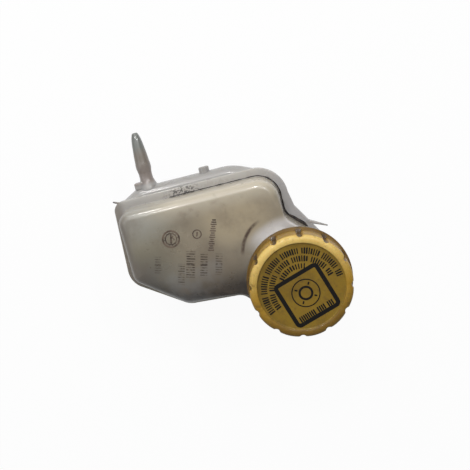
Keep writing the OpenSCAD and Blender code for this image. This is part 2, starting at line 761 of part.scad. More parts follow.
// Reed switch in the stem and its two leads down to the blades
reed_len = 14;
reed_low_z = floor_in_z + 8;
reed_top_z = reed_low_z + reed_len;
blade_t = 0.8;
blade_w = 2.8;
blade_y = 3.2;
blade_back = 6;
blade_len = 20;
blade_z = cavity_z + (shroud_h - 2 * shroud_wall) / 2 - blade_t / 2;
module reed_switch() {
    color([0.65, 0.80, 0.72, 0.6]) at_float() translate([reed_x, 0, reed_low_z]) cylinder(r = reed_r, h = reed_len);
}
module lead_down(x, top_z) {
    translate([x, 0, blade_z + blade_t]) cylinder(r = lead_r, h = top_z - blade_z - blade_t, $fn = 24);
}
module reed_lead_short() {
    color([0.75, 0.75, 0.77]) at_float() lead_down(reed_x, reed_low_z);
}
module reed_lead_long() {
    bend_z = reed_top_z + 1.6;
    color([0.75, 0.75, 0.77]) at_float() {
        lead_down(lead_x, bend_z);
        translate([lead_x, 0, bend_z]) sphere(r = lead_r, $fn = 24);
        translate([lead_x, 0, bend_z]) rotate([0, 90, 0]) cylinder(r = lead_r, h = reed_x - lead_x, $fn = 24);
        translate([reed_x, 0, bend_z]) sphere(r = lead_r, $fn = 24);
        translate([reed_x, 0, reed_top_z]) cylinder(r = lead_r, h = bend_z - reed_top_z, $fn = 24);
    }
}
module blade(side) {
    translate([-shroud_len + blade_back, side * blade_y - blade_w / 2, blade_z]) cube([blade_len, blade_w, blade_t]);
}
module terminal(side) {
    color([0.78, 0.74, 0.60]) at_float() blade(side);
}
module terminal_left() { terminal(1); }
module terminal_right() { terminal(-1); }

upper_shell();
lower_shell();
cap_shell();
cap_insert();
vent_disc();
bellows();
strainer_frame();
strainer_mesh();
float_body();
float_cover();
float_magnet();
float_stop();
sensor_housing();
sensor_seal();
reed_switch();
reed_lead_short();
reed_lead_long();
terminal_left();
terminal_right();
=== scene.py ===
import bpy
import bmesh
import numpy as np
from mathutils import Matrix, Vector


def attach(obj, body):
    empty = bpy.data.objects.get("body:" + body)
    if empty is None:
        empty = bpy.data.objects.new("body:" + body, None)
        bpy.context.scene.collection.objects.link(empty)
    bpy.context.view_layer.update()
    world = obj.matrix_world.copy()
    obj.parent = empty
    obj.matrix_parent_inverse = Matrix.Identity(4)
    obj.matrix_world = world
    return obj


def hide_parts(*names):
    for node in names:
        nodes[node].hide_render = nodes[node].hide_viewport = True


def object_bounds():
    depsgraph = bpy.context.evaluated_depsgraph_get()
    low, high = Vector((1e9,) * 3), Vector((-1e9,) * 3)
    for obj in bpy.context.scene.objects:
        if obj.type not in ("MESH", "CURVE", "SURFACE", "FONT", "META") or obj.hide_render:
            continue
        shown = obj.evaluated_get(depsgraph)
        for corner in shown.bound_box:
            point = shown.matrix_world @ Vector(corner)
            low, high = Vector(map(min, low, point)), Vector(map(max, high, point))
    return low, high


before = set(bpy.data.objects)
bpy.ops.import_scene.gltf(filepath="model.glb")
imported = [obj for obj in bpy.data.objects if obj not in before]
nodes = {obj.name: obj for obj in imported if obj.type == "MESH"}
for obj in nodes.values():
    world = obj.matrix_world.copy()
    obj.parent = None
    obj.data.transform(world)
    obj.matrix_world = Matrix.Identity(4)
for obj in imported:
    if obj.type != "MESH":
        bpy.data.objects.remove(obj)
cad_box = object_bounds()

# Upper shell: the top half of the tank, moulded in milky polypropylene with the filler neck on it.
# Its walls lean in a little, roll over into the flat top and flare up into the neck.
# A flange runs round its foot and is hot-plate welded to the lower shell's flange.
WELD_Z, TOP_Z, RIM_Z = 36.5, 57.5, 78.5
NECK = np.array([24.0, -27.0])
NECK_R, NECK_BORE_R, SEAT_R, SEAT_Z = 22.0, 19.8, 18.0, 62.5
THREAD_PITCH, THREAD_W = 6, 1.6
FLARE_REACH, FLARE_SLOPE = 13, 0.55
WALL, DRAFT, FLANGE_T = 2.0, 1.0, 2.0
CREASE = 38  # degrees past which an edge is shaded sharp
# A corner is x, y, its radius, and 1 where the next arc follows with no straight wall between them.
UPPER_PLAN = np.array([
    [25.0, 31.0, 13.0, 0], [-66.5, 31.0, 8.0, 0], [-66.5, -9.0, 8.0, 0], [-40.0, -29.5, 10.0, 0],
    [-8.148, -29.5, 12.0, 0], [13.852, -51.5, 24.5, 1], [48.5, -51.5, 24.5, 1], [48.5, -16.852, 24.5, 0],
    [25.0, 6.648, 8.0, 0]])
FLANGE_PLAN = UPPER_PLAN.copy()
FLANGE_PLAN[1] = [-64.4, 31.0, 1.5, 0]
FLANGE_OUT = np.array([4.4, 4.3, 4.2, 2.5, 4.0, 4.0, 2.5, 1.2, 6.0])
TOP_EDGE = np.array([5.5, 5.2, 6.0, 7.5, 1.2, 1.2, 1.2, 1.2, 1.2])
EDGE_SPREAD = np.array([0.85, 0.95, 1.6, 1.3, 1.0, 1.0, 1.0, 1.0, 1.0])


def plan_rings(corners, out, height, arc_steps=12, wall_steps=7):
    """Rings round a plan of rounded corners, one for each row of out and height.

    Each corner is an arc that touches its two straight walls. Moving the walls out by out moves the
    arc's centre along the corner's bisector, and its radius grows on an outer corner and shrinks on
    an inner one. Between two arcs the wall is straight, and height runs evenly along it.
    """
    count = len(corners)
    out = np.stack([np.broadcast_to(row, count) for row in out]).astype(float)
    height = np.stack([np.broadcast_to(row, count) for row in height]).astype(float)
    along = corners[:, :2] - np.roll(corners[:, :2], 1, 0)
    along /= np.linalg.norm(along, axis=1, keepdims=True)
    leaving = np.roll(along, -1, 0)
    normal = np.stack([along[:, 1], -along[:, 0]], 1)
    normal_next = np.stack([leaving[:, 1], -leaving[:, 0]], 1)
    turn = np.arctan2(along[:, 0] * leaving[:, 1] - along[:, 1] * leaving[:, 0], (along * leaving).sum(1))
    side = np.where(turn < 0, -1.0, 1.0)
    radius = np.maximum(corners[:, 2] + side * out, 0.6)
    bisector = (normal + normal_next) / (1 + (normal * normal_next).sum(1))[:, None]
    centre = corners[:, :2] + bisector * (out - side * radius)[..., None]
    angle = np.arctan2(normal[:, 1], normal[:, 0])[:, None] + turn[:, None] * np.linspace(0, 1, arc_steps + 1)
    spoke = np.stack([np.cos(angle), np.sin(angle)], -1)
    arc = centre[:, :, None] + (side * radius)[..., None, None] * spoke
    share = np.linspace(0, 1, wall_steps + 2)[1:-1]
    ahead = np.roll(arc[:, :, :1], -1, 1)
    wall = arc[:, :, -1:] + (ahead - arc[:, :, -1:]) * share[:, None]
    arc_z = np.repeat(height[..., None], arc_steps + 1, 2)
    wall_z = height[..., None] + (np.roll(height, -1, 1) - height)[..., None] * share
    flat = np.concatenate([arc, wall], 2)
    rings = np.concatenate([flat, np.concatenate([arc_z, wall_z], 2)[..., None]], -1)
    kept = np.ones(rings.shape[1:3], bool)
    kept[corners[:, 3] > 0, arc_steps:] = False
    return rings[:, kept]


def quarter(steps):
    """Angles from nought to a right angle."""
    return np.linspace(0, np.pi / 2, steps + 1)


def make_piece(name, grids, material, body, stands_for=(), dirt_and_shade=None):
    """One object from closed grids of points in millimetres.

    A grid is (points, rows_close, columns_close): each point is joined to its neighbours in both
    directions, points that fall together are merged, and the faces are turned outwards. Dirt and shade
    is a share for each point of dirt and painted shadow, kept as an attribute for the material.
    """
    points, faces, start = [], [], 0
    for grid, rows_close, columns_close in grids:
        rows, columns = grid.shape[:2]
        index = start + np.arange(rows * columns).reshape(rows, columns)
        if rows_close:
            index = np.concatenate([index, index[:1]], 0)
        if columns_close:
            index = np.concatenate([index, index[:, :1]], 1)
        around = [index[:-1, :-1], index[:-1, 1:], index[1:, 1:], index[1:, :-1]]
        faces.append(np.stack(around, -1).reshape(-1, 4))
        points.append(grid.reshape(-1, 3))
        start += rows * columns
    mesh = bpy.data.meshes.new(name)
    mesh.from_pydata((np.concatenate(points) * 0.001).tolist(), [], np.concatenate(faces).tolist())
    if dirt_and_shade is not None:
        share = mesh.attributes.new("dirt_and_shade", "FLOAT", "POINT")
        share.data.foreach_set("value", dirt_and_shade.ravel().astype(np.float32))
    shape = bmesh.new()
    shape.from_mesh(mesh)
    bmesh.ops.remove_doubles(shape, verts=shape.verts, dist=2e-6)
    bmesh.ops.dissolve_degenerate(shape, edges=shape.edges, dist=1e-7)
    bmesh.ops.recalc_face_normals(shape, faces=shape.faces)
    shape.to_mesh(mesh)
    shape.free()
    mesh.shade_smooth()
    mesh.set_sharp_from_angle(angle=np.radians(CREASE))
    mesh.materials.append(material)
    piece = bpy.data.objects.new(name, mesh)
    bpy.context.scene.collection.objects.link(piece)
    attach(piece, body)
    if stands_for:
        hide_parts(*stands_for)
    return piece


def turned(profile, foot, axis="z", steps=64, close=True):
    """A profile of (radius, height) turned about an axis through foot; close joins its two ends."""
    profile = np.asarray(profile, float)
    angle = np.linspace(0, 2 * np.pi, steps, endpoint=False)
    across = profile[:, :1] * np.cos(angle)
    over = profile[:, :1] * np.sin(angle)
    up = np.repeat(profile[:, 1:], steps, 1)
    order = {"z": (across, over, up), "y": (over, up, across)}[axis]
    return np.stack(order, -1) + np.asarray(foot, float), close, True


def neck_helix(angle, height, foot, top, reach):
    """Height of a thread over a round wall: a rounded ridge that climbs one pitch in each turn and
    runs out smoothly at its two ends."""
    turns = (height - foot) / THREAD_PITCH - angle / (2 * np.pi)
    off = np.abs(turns - np.round(turns)) * THREAD_PITCH
    ridge = np.clip(1.5 - 2 * off / THREAD_W, 0, 1)
    ends = np.clip((height - foot) / 1.5, 0, 1) * np.clip((top - height) / 1.5, 0, 1)
    return reach * ridge * ridge * (3 - 2 * ridge) * ends


def upper_shell_grid():
    """The shell as one closed band of rings: up the neck's bore, over its rim, down the thread and
    the flare, across the top, down the wall, round the flange and back up the inside."""
    a = quarter(12)[:, None]
    edge = TOP_EDGE[None]
    wide = edge * EDGE_SPREAD
    level = np.ones((1, 9))
    outside = plan_rings(UPPER_PLAN,
                         np.concatenate([-DRAFT - wide * (1 - np.sin(a)), -0.35 * level, 0 * level]),
                         np.concatenate([TOP_Z - edge * (1 - np.cos(a)), (WELD_Z + FLANGE_T + 0.35) * level,
                                         (WELD_Z + FLANGE_T) * level]))
    skirt = [(-0.5, 0), (-0.15, -0.12), (0, -0.5), (0, -FLANGE_T)]
    flange = plan_rings(FLANGE_PLAN, [FLANGE_OUT + d for d, z in skirt],
                        [np.full(9, WELD_Z + FLANGE_T + z) for d, z in skirt])
    foot_in = plan_rings(UPPER_PLAN, [np.full(9, -WALL)], [np.full(9, WELD_Z)])
    inner_edge = np.maximum(edge - WALL, 0.4)
    inside = plan_rings(UPPER_PLAN, -WALL - DRAFT - inner_edge * (1 - np.sin(a[::-1])),
                        TOP_Z - WALL - inner_edge * (1 - np.cos(a[::-1])))
    start = outside[0, :, :2] - NECK
    reach = np.linalg.norm(start, axis=1)
    angle = np.arctan2(start[:, 1], start[:, 0])
    spoke = np.stack([np.cos(angle), np.sin(angle)], -1)
    room = reach - NECK_R
    flare_w = FLARE_REACH * (1 - np.exp(-0.9 * room / FLARE_REACH))
    flare_h = FLARE_SLOPE * flare_w

    def ring(radius, height):
        radius = np.broadcast_to(radius, angle.shape)
        height = np.broadcast_to(height, angle.shape)
        return np.concatenate([NECK + spoke * radius[:, None], height[:, None]], 1)

    flare = [ring(NECK_R + flare_w * (1 - np.sin(t)), TOP_Z + flare_h * (1 - np.cos(t)))
             for t in quarter(9)[::-1]]
    foot = flare[-1]
    across = [foot + (outside[0] - foot) * s for s in (0.33, 0.67)]
    levels = np.linspace(RIM_Z - 1, TOP_Z + 8, 44)
    threaded = [ring(NECK_R + neck_helix(angle, z, 67.5, 77, 1.0), z) for z in levels]
    rim = [ring(NECK_BORE_R, SEAT_Z), ring(NECK_BORE_R, RIM_Z - 0.3), ring(NECK_BORE_R + 0.3, RIM_Z),
           ring(NECK_R - 0.4, RIM_Z), ring(NECK_R, RIM_Z - 0.4)]
    ceiling = inside[-1] + (ring(SEAT_R, TOP_Z - WALL) - inside[-1]) * 0.5
    bore = [ceiling, ring(SEAT_R, TOP_Z - WALL), ring(SEAT_R, SEAT_Z)]
    rings = [*rim, *threaded, *flare, *across, *outside, *flange, *foot_in, *inside, *bore]
    return np.stack(rings), True, True


def colour(red, green, blue):
    """A screen colour of 0 to 255 as the linear values that a shader takes."""
    value = np.array([red, green, blue]) / 255
    return (*np.where(value > 0.04045, ((value + 0.055) / 1.055) ** 2.4, value / 12.92).tolist(), 1)


class Finish:
    """A node material in the making. Each call adds one node and gives back its output."""

    def __init__(self, name, **sockets):
        self.material = bpy.data.materials.new(name)
        self.material.use_nodes = True
        self.tree = self.material.node_tree
        self.shader = self.tree.nodes["Principled BSDF"]
        for key, value in sockets.items():
            self.shader.inputs[key.replace("_", " ")].default_value = value
        self.place = self.tree.nodes.new("ShaderNodeTexCoord").outputs["Object"]

    def add(self, kind, inputs, output=0, **settings):
        node = self.tree.nodes.new(kind)
        for key, value in settings.items():
            setattr(node, key, value)
        for key, value in inputs.items():
            if isinstance(value, bpy.types.NodeSocket):
                self.tree.links.new(value, node.inputs[key])
            else:
                node.inputs[key].default_value = value
        return node.outputs[output]

    def noise(self, scale, detail=4, rough=0.5, stretch=(1, 1, 1)):
        stretched = self.add("ShaderNodeMapping", {"Vector": self.place, "Scale": stretch})
        return self.add("ShaderNodeTexNoise", {"Vector": stretched, "Scale": scale, "Detail": detail,
                                               "Roughness": rough})

    def step(self, value, low, high):
        return self.add("ShaderNodeMapRange", {"Value": value, "From Min": low, "From Max": high},
                        interpolation_type="SMOOTHSTEP")

    def math(self, operation, one, two=0.0):
        return self.add("ShaderNodeMath", {0: one, 1: two}, operation=operation)

    def both(self, *shares):
        """Shares of nought to one multiplied together: one only where all of them are."""
        product = shares[0]
        for share in shares[1:]:
            product = self.math("MULTIPLY", product, share)
        return product

    def blend(self, share, one, two):
        return self.add("ShaderNodeMix", {0: share, 6: one, 7: two}, 2, data_type="RGBA")

    def split(self, vector):
        node = self.tree.nodes.new("ShaderNodeSeparateXYZ")
        self.tree.links.new(vector, node.inputs[0])
        return node.outputs

    def spot(self, x, y, z, wide, long, tall=1.0, turn=0.0):
        """Places measured from a spot in metres, in half sizes along its own axes, turned about +Z."""
        inputs = {"Vector": self.place, "Location": (x, y, z), "Rotation": (0, 0, turn),
                  "Scale": (wide, long, tall)}
        return self.add("ShaderNodeMapping", inputs, vector_type="TEXTURE")

    def far(self, x, y):
        """Distance in metres from an upright line."""
        flat = self.add("ShaderNodeVectorMath", {0: self.place, 1: (-x, -y, 0)}, operation="ADD")
        flat = self.add("ShaderNodeVectorMath", {0: flat, 1: (1, 1, 0)}, operation="MULTIPLY")
        return self.add("ShaderNodeVectorMath", {0: flat}, "Value", operation="LENGTH")

    def near(self, *sizes):
        """One at a spot and nought past its half sizes."""
        away = self.add("ShaderNodeVectorMath", {0: self.spot(*sizes)}, "Value", operation="LENGTH")
        return self.step(away, 1.0, 0.35)

    def wire(self, socket, output):
        self.tree.links.new(output, self.shader.inputs[socket])

    def bump(self, height, strength, distance):
        inputs = {"Height": height, "Strength": strength, "Distance": distance}
        self.wire("Normal", self.add("ShaderNodeBump", inputs))


def clouded_plastic():
    """Milky plastic, stained by old fluid: pale where the wall is thick, tan over the fluid, with painted
    shade in grey-blue towards the slanted corner, in brown along the lower edge and at the far end, painted
    light along the far edge and on the neck's flare, with fine scratches and specks."""
    f = Finish("clouded_plastic", Subsurface_Weight=0.16, Subsurface_Scale=0.004, IOR=1.49,
               Coat_Weight=0.6, Coat_IOR=1.55, Coat_Roughness=0.12)
    f.shader.inputs["Subsurface Radius"].default_value = (1.0, 0.8, 0.6)
    x, y, z = f.split(f.place)
    cloud = f.noise(28, 3)
    fine = f.noise(160, 5)

    # The walls and the flat top: a slow change of tone from end to end, with painted shade darker near the
    # low edge.
    tone = f.blend(f.step(cloud, 0.35, 0.7), colour(146, 136, 117), colour(124, 113, 96))
    tone = f.blend(f.both(f.step(y, 0.006, -0.012), 0.8), tone, colour(118, 108, 93))
    tone = f.blend(f.step(x, -0.028, -0.048), tone, colour(124, 117, 99))
    corner = f.both(f.step(x, -0.026, -0.054), f.step(y, 0.004, 0.024))
    tone = f.blend(corner, tone, colour(147, 144, 135))
    tan = f.near(-0.002, 0.014, 0.0575, 0.026, 0.020, 0.04)
    tone = f.blend(f.both(tan, 0.75), tone, colour(164, 150, 124))
    top = f.step(z, 0.0440, 0.0540)
    # Painted shade: the top goes dark grey-blue towards the slanted corner.
    side = f.both(f.step(x, -0.030, -0.060), f.step(y, 0.012, -0.008), top)
    tone = f.blend(f.both(side, 0.85), tone, colour(84, 81, 78))
    low = f.both(f.step(y, -0.008, -0.026), f.step(x, 0.010, -0.006), top)
    tone = f.blend(f.both(f.math("SUBTRACT", 1.0, top), 0.65), tone, colour(160, 153, 139))
    # Painted shade: the top's low edge goes dark brown.
    tone = f.blend(f.both(low, 0.95), tone, colour(42, 33, 26))
    patches = f.step(f.noise(70, 4, 0.62), 0.42, 0.68)
    tone = f.blend(f.both(patches, 0.32), tone, colour(104, 92, 78))
    # Grey-blue patches towards the low edge.
    grey_blue_patches = f.both(f.step(f.noise(48, 3, 0.55), 0.48, 0.7), f.step(y, 0.002, -0.012))
    tone = f.blend(f.both(grey_blue_patches, 0.3), tone, colour(124, 126, 128))
    # Painted light: a pale band along the top's far edge, the side that faces the broad lamp.
    painted_far_edge_light = f.both(f.step(y, 0.0160, 0.0285), f.step(x, -0.060, -0.030))
    tone = f.blend(f.both(painted_far_edge_light, 0.8), tone, colour(190, 181, 163))
    # Painted shade: the top's rounding at the far end goes darker.
    painted_end_shade = f.both(f.step(x, -0.0585, -0.0650), top)
    tone = f.blend(f.both(painted_end_shade, 0.8), tone, colour(112, 104, 95))

    # The flange and what is below it: thicker, cleaner and paler, with painted shade on the flange at the far
    # end.
    outer = f.math("MAXIMUM", f.step(y, 0.010, 0.028), f.step(x, 0.016, 0.024))
    pale = f.both(f.step(z, 0.0405, 0.0385), outer)
    tone = f.blend(f.both(f.step(z, 0.0385, 0.0360), 0.7), tone, colour(160, 157, 152))
    tone = f.blend(f.both(pale, 0.8), tone, colour(160, 157, 154))
    # Painted light: the flange's right side, which faces away from the lamps, is painted at full paleness.
    tone = f.blend(f.both(pale, f.step(x, 0.014, 0.030)), tone, colour(160, 157, 156))
    # Painted shade: the flange at the far end is darker.
    painted_end_flange_shade = f.both(f.step(x, -0.0615, -0.0665), f.step(z, 0.0340, 0.0365))
    tone = f.blend(f.both(painted_end_flange_shade, 0.75), tone, colour(116, 108, 99))
    tip = f.both(f.step(x, -0.0655, -0.0672), f.step(y, 0.0345, 0.0354))
    tone = f.blend(f.both(tip, 0.9), tone, colour(60, 54, 52))
    shoulder = f.both(f.step(z, 0.0372, 0.0366), f.step(y, 0.0340, 0.0375))
    tone = f.blend(f.both(shoulder, 0.8), tone, colour(148, 145, 142))

    # The flare at the neck's foot: painted light makes its lit side pale, with an arc of brown dirt on the
    # side of the marks.
    # Painted light: the flare's side towards the lamps is pale.
    flare = f.both(f.step(f.far(0.024, -0.027), 0.0365, 0.0310), f.step(z, 0.0540, 0.0570))
    slant = f.math("ADD", y, f.math("MULTIPLY", x, 0.7))
    flare = f.both(flare, f.step(slant, -0.008, 0.009))
    tone = f.blend(f.both(flare, 0.85), tone, colour(196, 192, 190))
    reach = f.far(0.0171, -0.0107)
    arc = f.both(f.step(reach, 0.0217, 0.0204), f.step(reach, 0.0187, 0.0199),
                 f.both(f.step(x, 0.012, 0.006), f.step(y, -0.009, -0.004)), f.step(z, 0.055, 0.057))
    tone = f.blend(f.both(arc, f.step(fine, 0.22, 0.55)), tone, colour(72, 54, 42))

    # The nipple, greener towards its closed tip.
    stalk = f.blend(f.step(y, 0.046, 0.056), colour(134, 124, 118), colour(118, 110, 101))
    stalk = f.blend(f.step(y, 0.057, 0.064), stalk, colour(110, 112, 108))
    tone = f.blend(f.both(f.step(y, 0.0400, 0.0425), f.step(x, -0.030, -0.036)), tone, stalk)

    # Smeared columns of short strokes on the top, painted shadows of inner parts seen through the wall:
    # middle, half sizes in millimetres and darkness.
    for x0, y0, half_long, half_wide, dark in (
            (-32.0, -6.0, 8.2, 2.7, 1.0), (-25.0, -8.0, 7.0, 2.2, 0.9), (-49.6, -2.0, 5.4, 2.0, 0.6),
            (-16.9, -9.6, 6.6, 2.1, 0.7), (-38.4, -10.1, 6.2, 2.1, 0.8)):
        place = f.spot(x0 * 0.001, y0 * 0.001, 0.0575, half_wide * 0.001, half_long * 0.001, 0.03, -0.27)
        mirrored = f.add("ShaderNodeVectorMath", {0: place}, operation="ABSOLUTE")
        across, along, over = f.split(mirrored)
        column = f.both(f.step(f.math("MAXIMUM", across, along), 1.05, 0.7), f.step(over, 1.0, 0.5))
        strokes = f.step(f.math("SINE", f.math("MULTIPLY", along, half_long * 4.6)), -0.7, 0.6)
        strokes = f.both(strokes, f.step(f.noise(430, 3, 0.7), 0.3, 0.58))
        tone = f.blend(f.both(column, strokes, dark), tone, colour(54, 41, 32))

    # Stains all over, and dark specks at the foot of the long wall.
    foot_of_wall = f.near(-0.0285, 0.031, 0.0385, 0.014, 0.0080, 0.0065)
    specks = f.both(foot_of_wall, f.step(f.noise(860, 3), 0.5, 0.56))
    stains = f.step(f.noise(75, 6, 0.65), 0.58, 0.76)
    tone = f.blend(f.both(stains, 0.4), tone, colour(100, 86, 70))
    tone = f.blend(f.both(specks, 0.75), tone, colour(40, 35, 33))
    f.wire("Base Color", tone)
    scratch = f.noise(900, 2, 0.5, (1, 0.06, 1))
    rough = f.add("ShaderNodeMapRange", {"Value": f.noise(55, 6, 0.6), "From Min": 0.3, "From Max": 0.7,
                                         "To Min": 0.22, "To Max": 0.42})
    f.wire("Roughness", rough)
    relief = f.math("ADD", cloud, f.math("MULTIPLY", scratch, 0.06))
    f.bump(f.math("ADD", relief, f.math("MULTIPLY", fine, 0.14)), 0.35, 0.0007)
    return f.material


def fin(start, end, half_width, half_height, taper=0.3):
    """A bar with an oval section from start to end that narrows to taper at its tip; its ends are
    poles."""
    start = np.asarray(start, float)
    end = np.asarray(end, float)
    share = np.array([0, 0, 0.5, 0.97, 1])
    size = np.array([0, 1, 0.5 + taper / 2, taper, 0])
    way = (end - start) / np.linalg.norm(end - start)
    side = np.cross([0, 0, 1.0], way)
    side /= np.linalg.norm(side)
    angle = np.linspace(0, 2 * np.pi, 16, endpoint=False)
    loop = np.cos(angle)[:, None] * side * half_width
    loop = loop + np.sin(angle)[:, None] * np.cross(way, side) * half_height
    return start + (end - start) * share[:, None, None] + size[:, None, None] * loop, False, True


plastic = clouded_plastic()
make_piece("tank_upper_shell", [
    upper_shell_grid(),
    fin([36.6, -1.2, 37.5], [47.0, -6.4, 37.5], 1.1, 0.6, 0.35),
    fin([-64.0, 34.0, 37.5], [-68.4, 36.0, 37.5], 0.8, 0.7, 0.5)],
    plastic, "tank", ["upper_shell"])

# Lower shell: the bottom half of the tank, one moulding with the two outlet spigots, the sealed
# clutch nipple, the ears, the sensor's socket and the shallow arm below the filler neck.
# Its flange meets the upper shell's face to face, and a hot-plate weld joins them.
FLOOR_Z, ARM_Z, FLOOR_EDGE, LOWER_DRAFT = 6.5, 19.5, 7.0, 2.0
SHOULDER_H = 7.0
LOWER_PLAN = np.array([
    [27.0, 28.7, 9.0, 0], [2.0, 39.7, 30.0, 0], [-54.0, 39.7, 8.0, 0], [-66.5, 33.0, 6.0, 0],
    [-66.5, -9.0, 8.0, 0], [-40.0, -29.5, 10.0, 0], [27.0, -29.5, 14.0, 0]])
SHOULDER = np.array([1.6, 4.1, 4.1, 0.6, 0.0, 0.0, 0.0])
ARM_PLAN = np.array([
    [-12.148, -25.5, 1.0, 0], [13.852, -51.5, 24.5, 1], [48.5, -51.5, 24.5, 1], [48.5, -16.852, 24.5, 0],
    [21.0, 10.648, 1.0, 0], [-12.148, 10.648, 1.0, 0]])
NIPPLE, STUB = (-47.5, 39.7, 28.5), (-14.2, 39.7, 28.5)
FRONT_OUTLET, REAR_OUTLET, FLOAT_AXIS = [0, 0, 0], [-44, 0, 0], [-22, 18.5, 0]
CROSS_PIN_X, CROSS_PIN_Z, CROSS_PIN_R, EAR_R = -22, -5.5, 3.1, 6.5


def with_poles(rings, low, high=None):
    """Rings with their two ends drawn together at a point, so that the skin is closed."""
    high = low if high is None else high
    first = np.broadcast_to(np.asarray(low, float), rings[:1].shape)
    last = np.broadcast_to(np.asarray(high, float), rings[:1].shape)
    near_first = first + (rings[:1] - first) * 0.6
    near_last = last + (rings[-1:] - last) * 0.6
    return np.concatenate([first, near_first, rings, near_last, last])


def chamber_grid():
    """The main chamber as one closed skin: from the floor's middle up its rounded edge, the leaning
    wall and the shoulder under the flange, then the same way back down inside."""
    a = quarter(8)[:, None]
    top = WELD_Z - FLANGE_T / 2

    def skin(inset):
        edge = FLOOR_EDGE - inset
        out = [np.broadcast_to(-inset - LOWER_DRAFT - edge * (1 - np.sin(a)), (9, 7)),
               -inset - SHOULDER * (1 - np.cos(a)), -inset - SHOULDER[None]]
        high = [np.broadcast_to(FLOOR_Z + inset + edge * (1 - np.cos(a)), (9, 7)),
                np.broadcast_to(WELD_Z - FLANGE_T - SHOULDER_H + SHOULDER_H * np.sin(a), (9, 7)),
                np.full((1, 7), top)]
        return plan_rings(LOWER_PLAN, np.concatenate(out), np.concatenate(high))

    rings = np.concatenate([skin(0), skin(WALL)[::-1]])
    return with_poles(rings, [-20, 3, FLOOR_Z], [-20, 3, FLOOR_Z + WALL]), False, True


def arm_grid():
    """The shallow arm as a closed cup: a floor with a rounded edge, an outer and an inner wall."""
    a = quarter(5)
    edge = 2.2
    out = np.concatenate([-edge * (1 - np.sin(a)), [0, -WALL], [-WALL], -WALL - 1 + 1 * np.sin(a[::-1])])
    high = np.concatenate([ARM_Z + edge * (1 - np.cos(a)), [WELD_Z - 1, WELD_Z - 1], [ARM_Z + WALL + 2],
                           ARM_Z + WALL + 1 - 1 * np.cos(a[::-1])])
    return with_poles(plan_rings(ARM_PLAN, out, high), [18, -20, ARM_Z], [18, -20, ARM_Z + WALL]), False, True


def lower_flange_grid():
    """The flange's lower half: a flat band round the plan with its outer edges rounded off."""
    loop = [(0, 0), (0, -1.6), (-0.15, -1.9), (-0.5, -2)]
    outer = plan_rings(FLANGE_PLAN, [FLANGE_OUT + d for d, z in loop], [WELD_Z + z for d, z in loop])
    inner = plan_rings(UPPER_PLAN, [-2.5, -2.5], [WELD_Z - FLANGE_T, WELD_Z])
    return np.concatenate([outer, inner]), True, True


def block(low, high, soft=0.4):
    """A box between two corners with rounded upright edges and softened rims."""
    (x0, y0, z0), (x1, y1, z1) = low, high
    plan = np.array([[x1, y0, soft, 0], [x1, y1, soft, 0], [x0, y1, soft, 0], [x0, y0, soft, 0]])
    rings = plan_rings(plan, [-soft * 0.7, -soft * 0.2, 0, 0, -soft * 0.2, -soft * 0.7],
                       [z0, z0 + soft * 0.25, z0 + soft, z1 - soft, z1 - soft * 0.25, z1], 3, 1)
    middle = [(x0 + x1) / 2, (y0 + y1) / 2]
    return with_poles(rings, [*middle, z0], [*middle, z1]), False, True


def ear_grid(y0, y1):
    """One ear: a plate between two heights along Y whose outline is a round end below and straight
    sides above, with the cross pin's hole through it; both outlines share the same angles."""
    angle = np.linspace(-np.pi, np.pi, 96, endpoint=False)
    c, s = np.cos(angle), np.sin(angle)
    straight = np.minimum(EAR_R / np.maximum(np.abs(c), 1e-6), 2 * EAR_R / np.maximum(s, 1e-6))
    reach = np.where(s < 0, EAR_R, straight)
    loop = [(0, y0 + 0.3), (0.3, y0), (1, y0), (1, y1), (0.3, y1), (0, y1 - 0.3)]
    rings = []
    for inset, y in loop:
        radius = np.full(96, CROSS_PIN_R) if inset == 1 else reach - inset
        rings.append(np.stack([CROSS_PIN_X + radius * c, np.full(96, y), CROSS_PIN_Z + radius * s], 1))
    return np.stack(rings), True, True


def chamber_wall_grid():
    """The low round wall beside the float: a flat section carried along half a turn, ends closed."""
    angle = np.radians(np.linspace(188, 352, 42))
    section = [(14.5, 8), (15.9, 8), (15.9, 26), (14.5, 26)]
    loop = np.array([[(r * np.cos(t), r * np.sin(t), z) for r, z in section] for t in angle])
    loop = loop + FLOAT_AXIS
    first, last = loop[:1].mean(1, keepdims=True), loop[-1:].mean(1, keepdims=True)
    return np.concatenate([np.repeat(first, 4, 1), loop, np.repeat(last, 4, 1)]), False, True


# Profiles of (radius, height along the axis): the nipple tapers from its bead to its closed tip.
nipple_profile = [(0, -3), (5.5, -3), (5.5, -0.4), (5.2, 0.1), (4.9, 0.8), (4.3, 2.2), (3.8, 4),
                  (3.75, 7.2), (3.85, 8), (4.2, 9.9), (4.32, 10.6), (4.3, 12.8), (4.15, 13.5),
                  (3.98, 16.4), (3.7, 19.5), (3.45, 21.7), (3.15, 24.5), (2.85, 26.6), (2.4, 28.6),
                  (2.05, 29.5), (1.85, 30.2), (1.5, 30.75), (0.9, 30.97), (0, 31)]
spigot = [(5, 7.5), (5, -8), (6.0, -8), (6.25, -7.8), (7, -5.5), (7, 5.5), (8.7, 5.5), (9, 5.8), (9, 7.5)]
stub_profile = [(0, -3), (3, -3), (3, 2.4), (2.6, 2.8), (2.2, 2.8), (2, 2.5), (2, 0), (0, 0)]
guide = [(0, 36.1), (5.6, 36.1), (6, 35.7), (6, 7.5), (4.3, 7.5), (4.3, 34.5), (0, 34.5)]
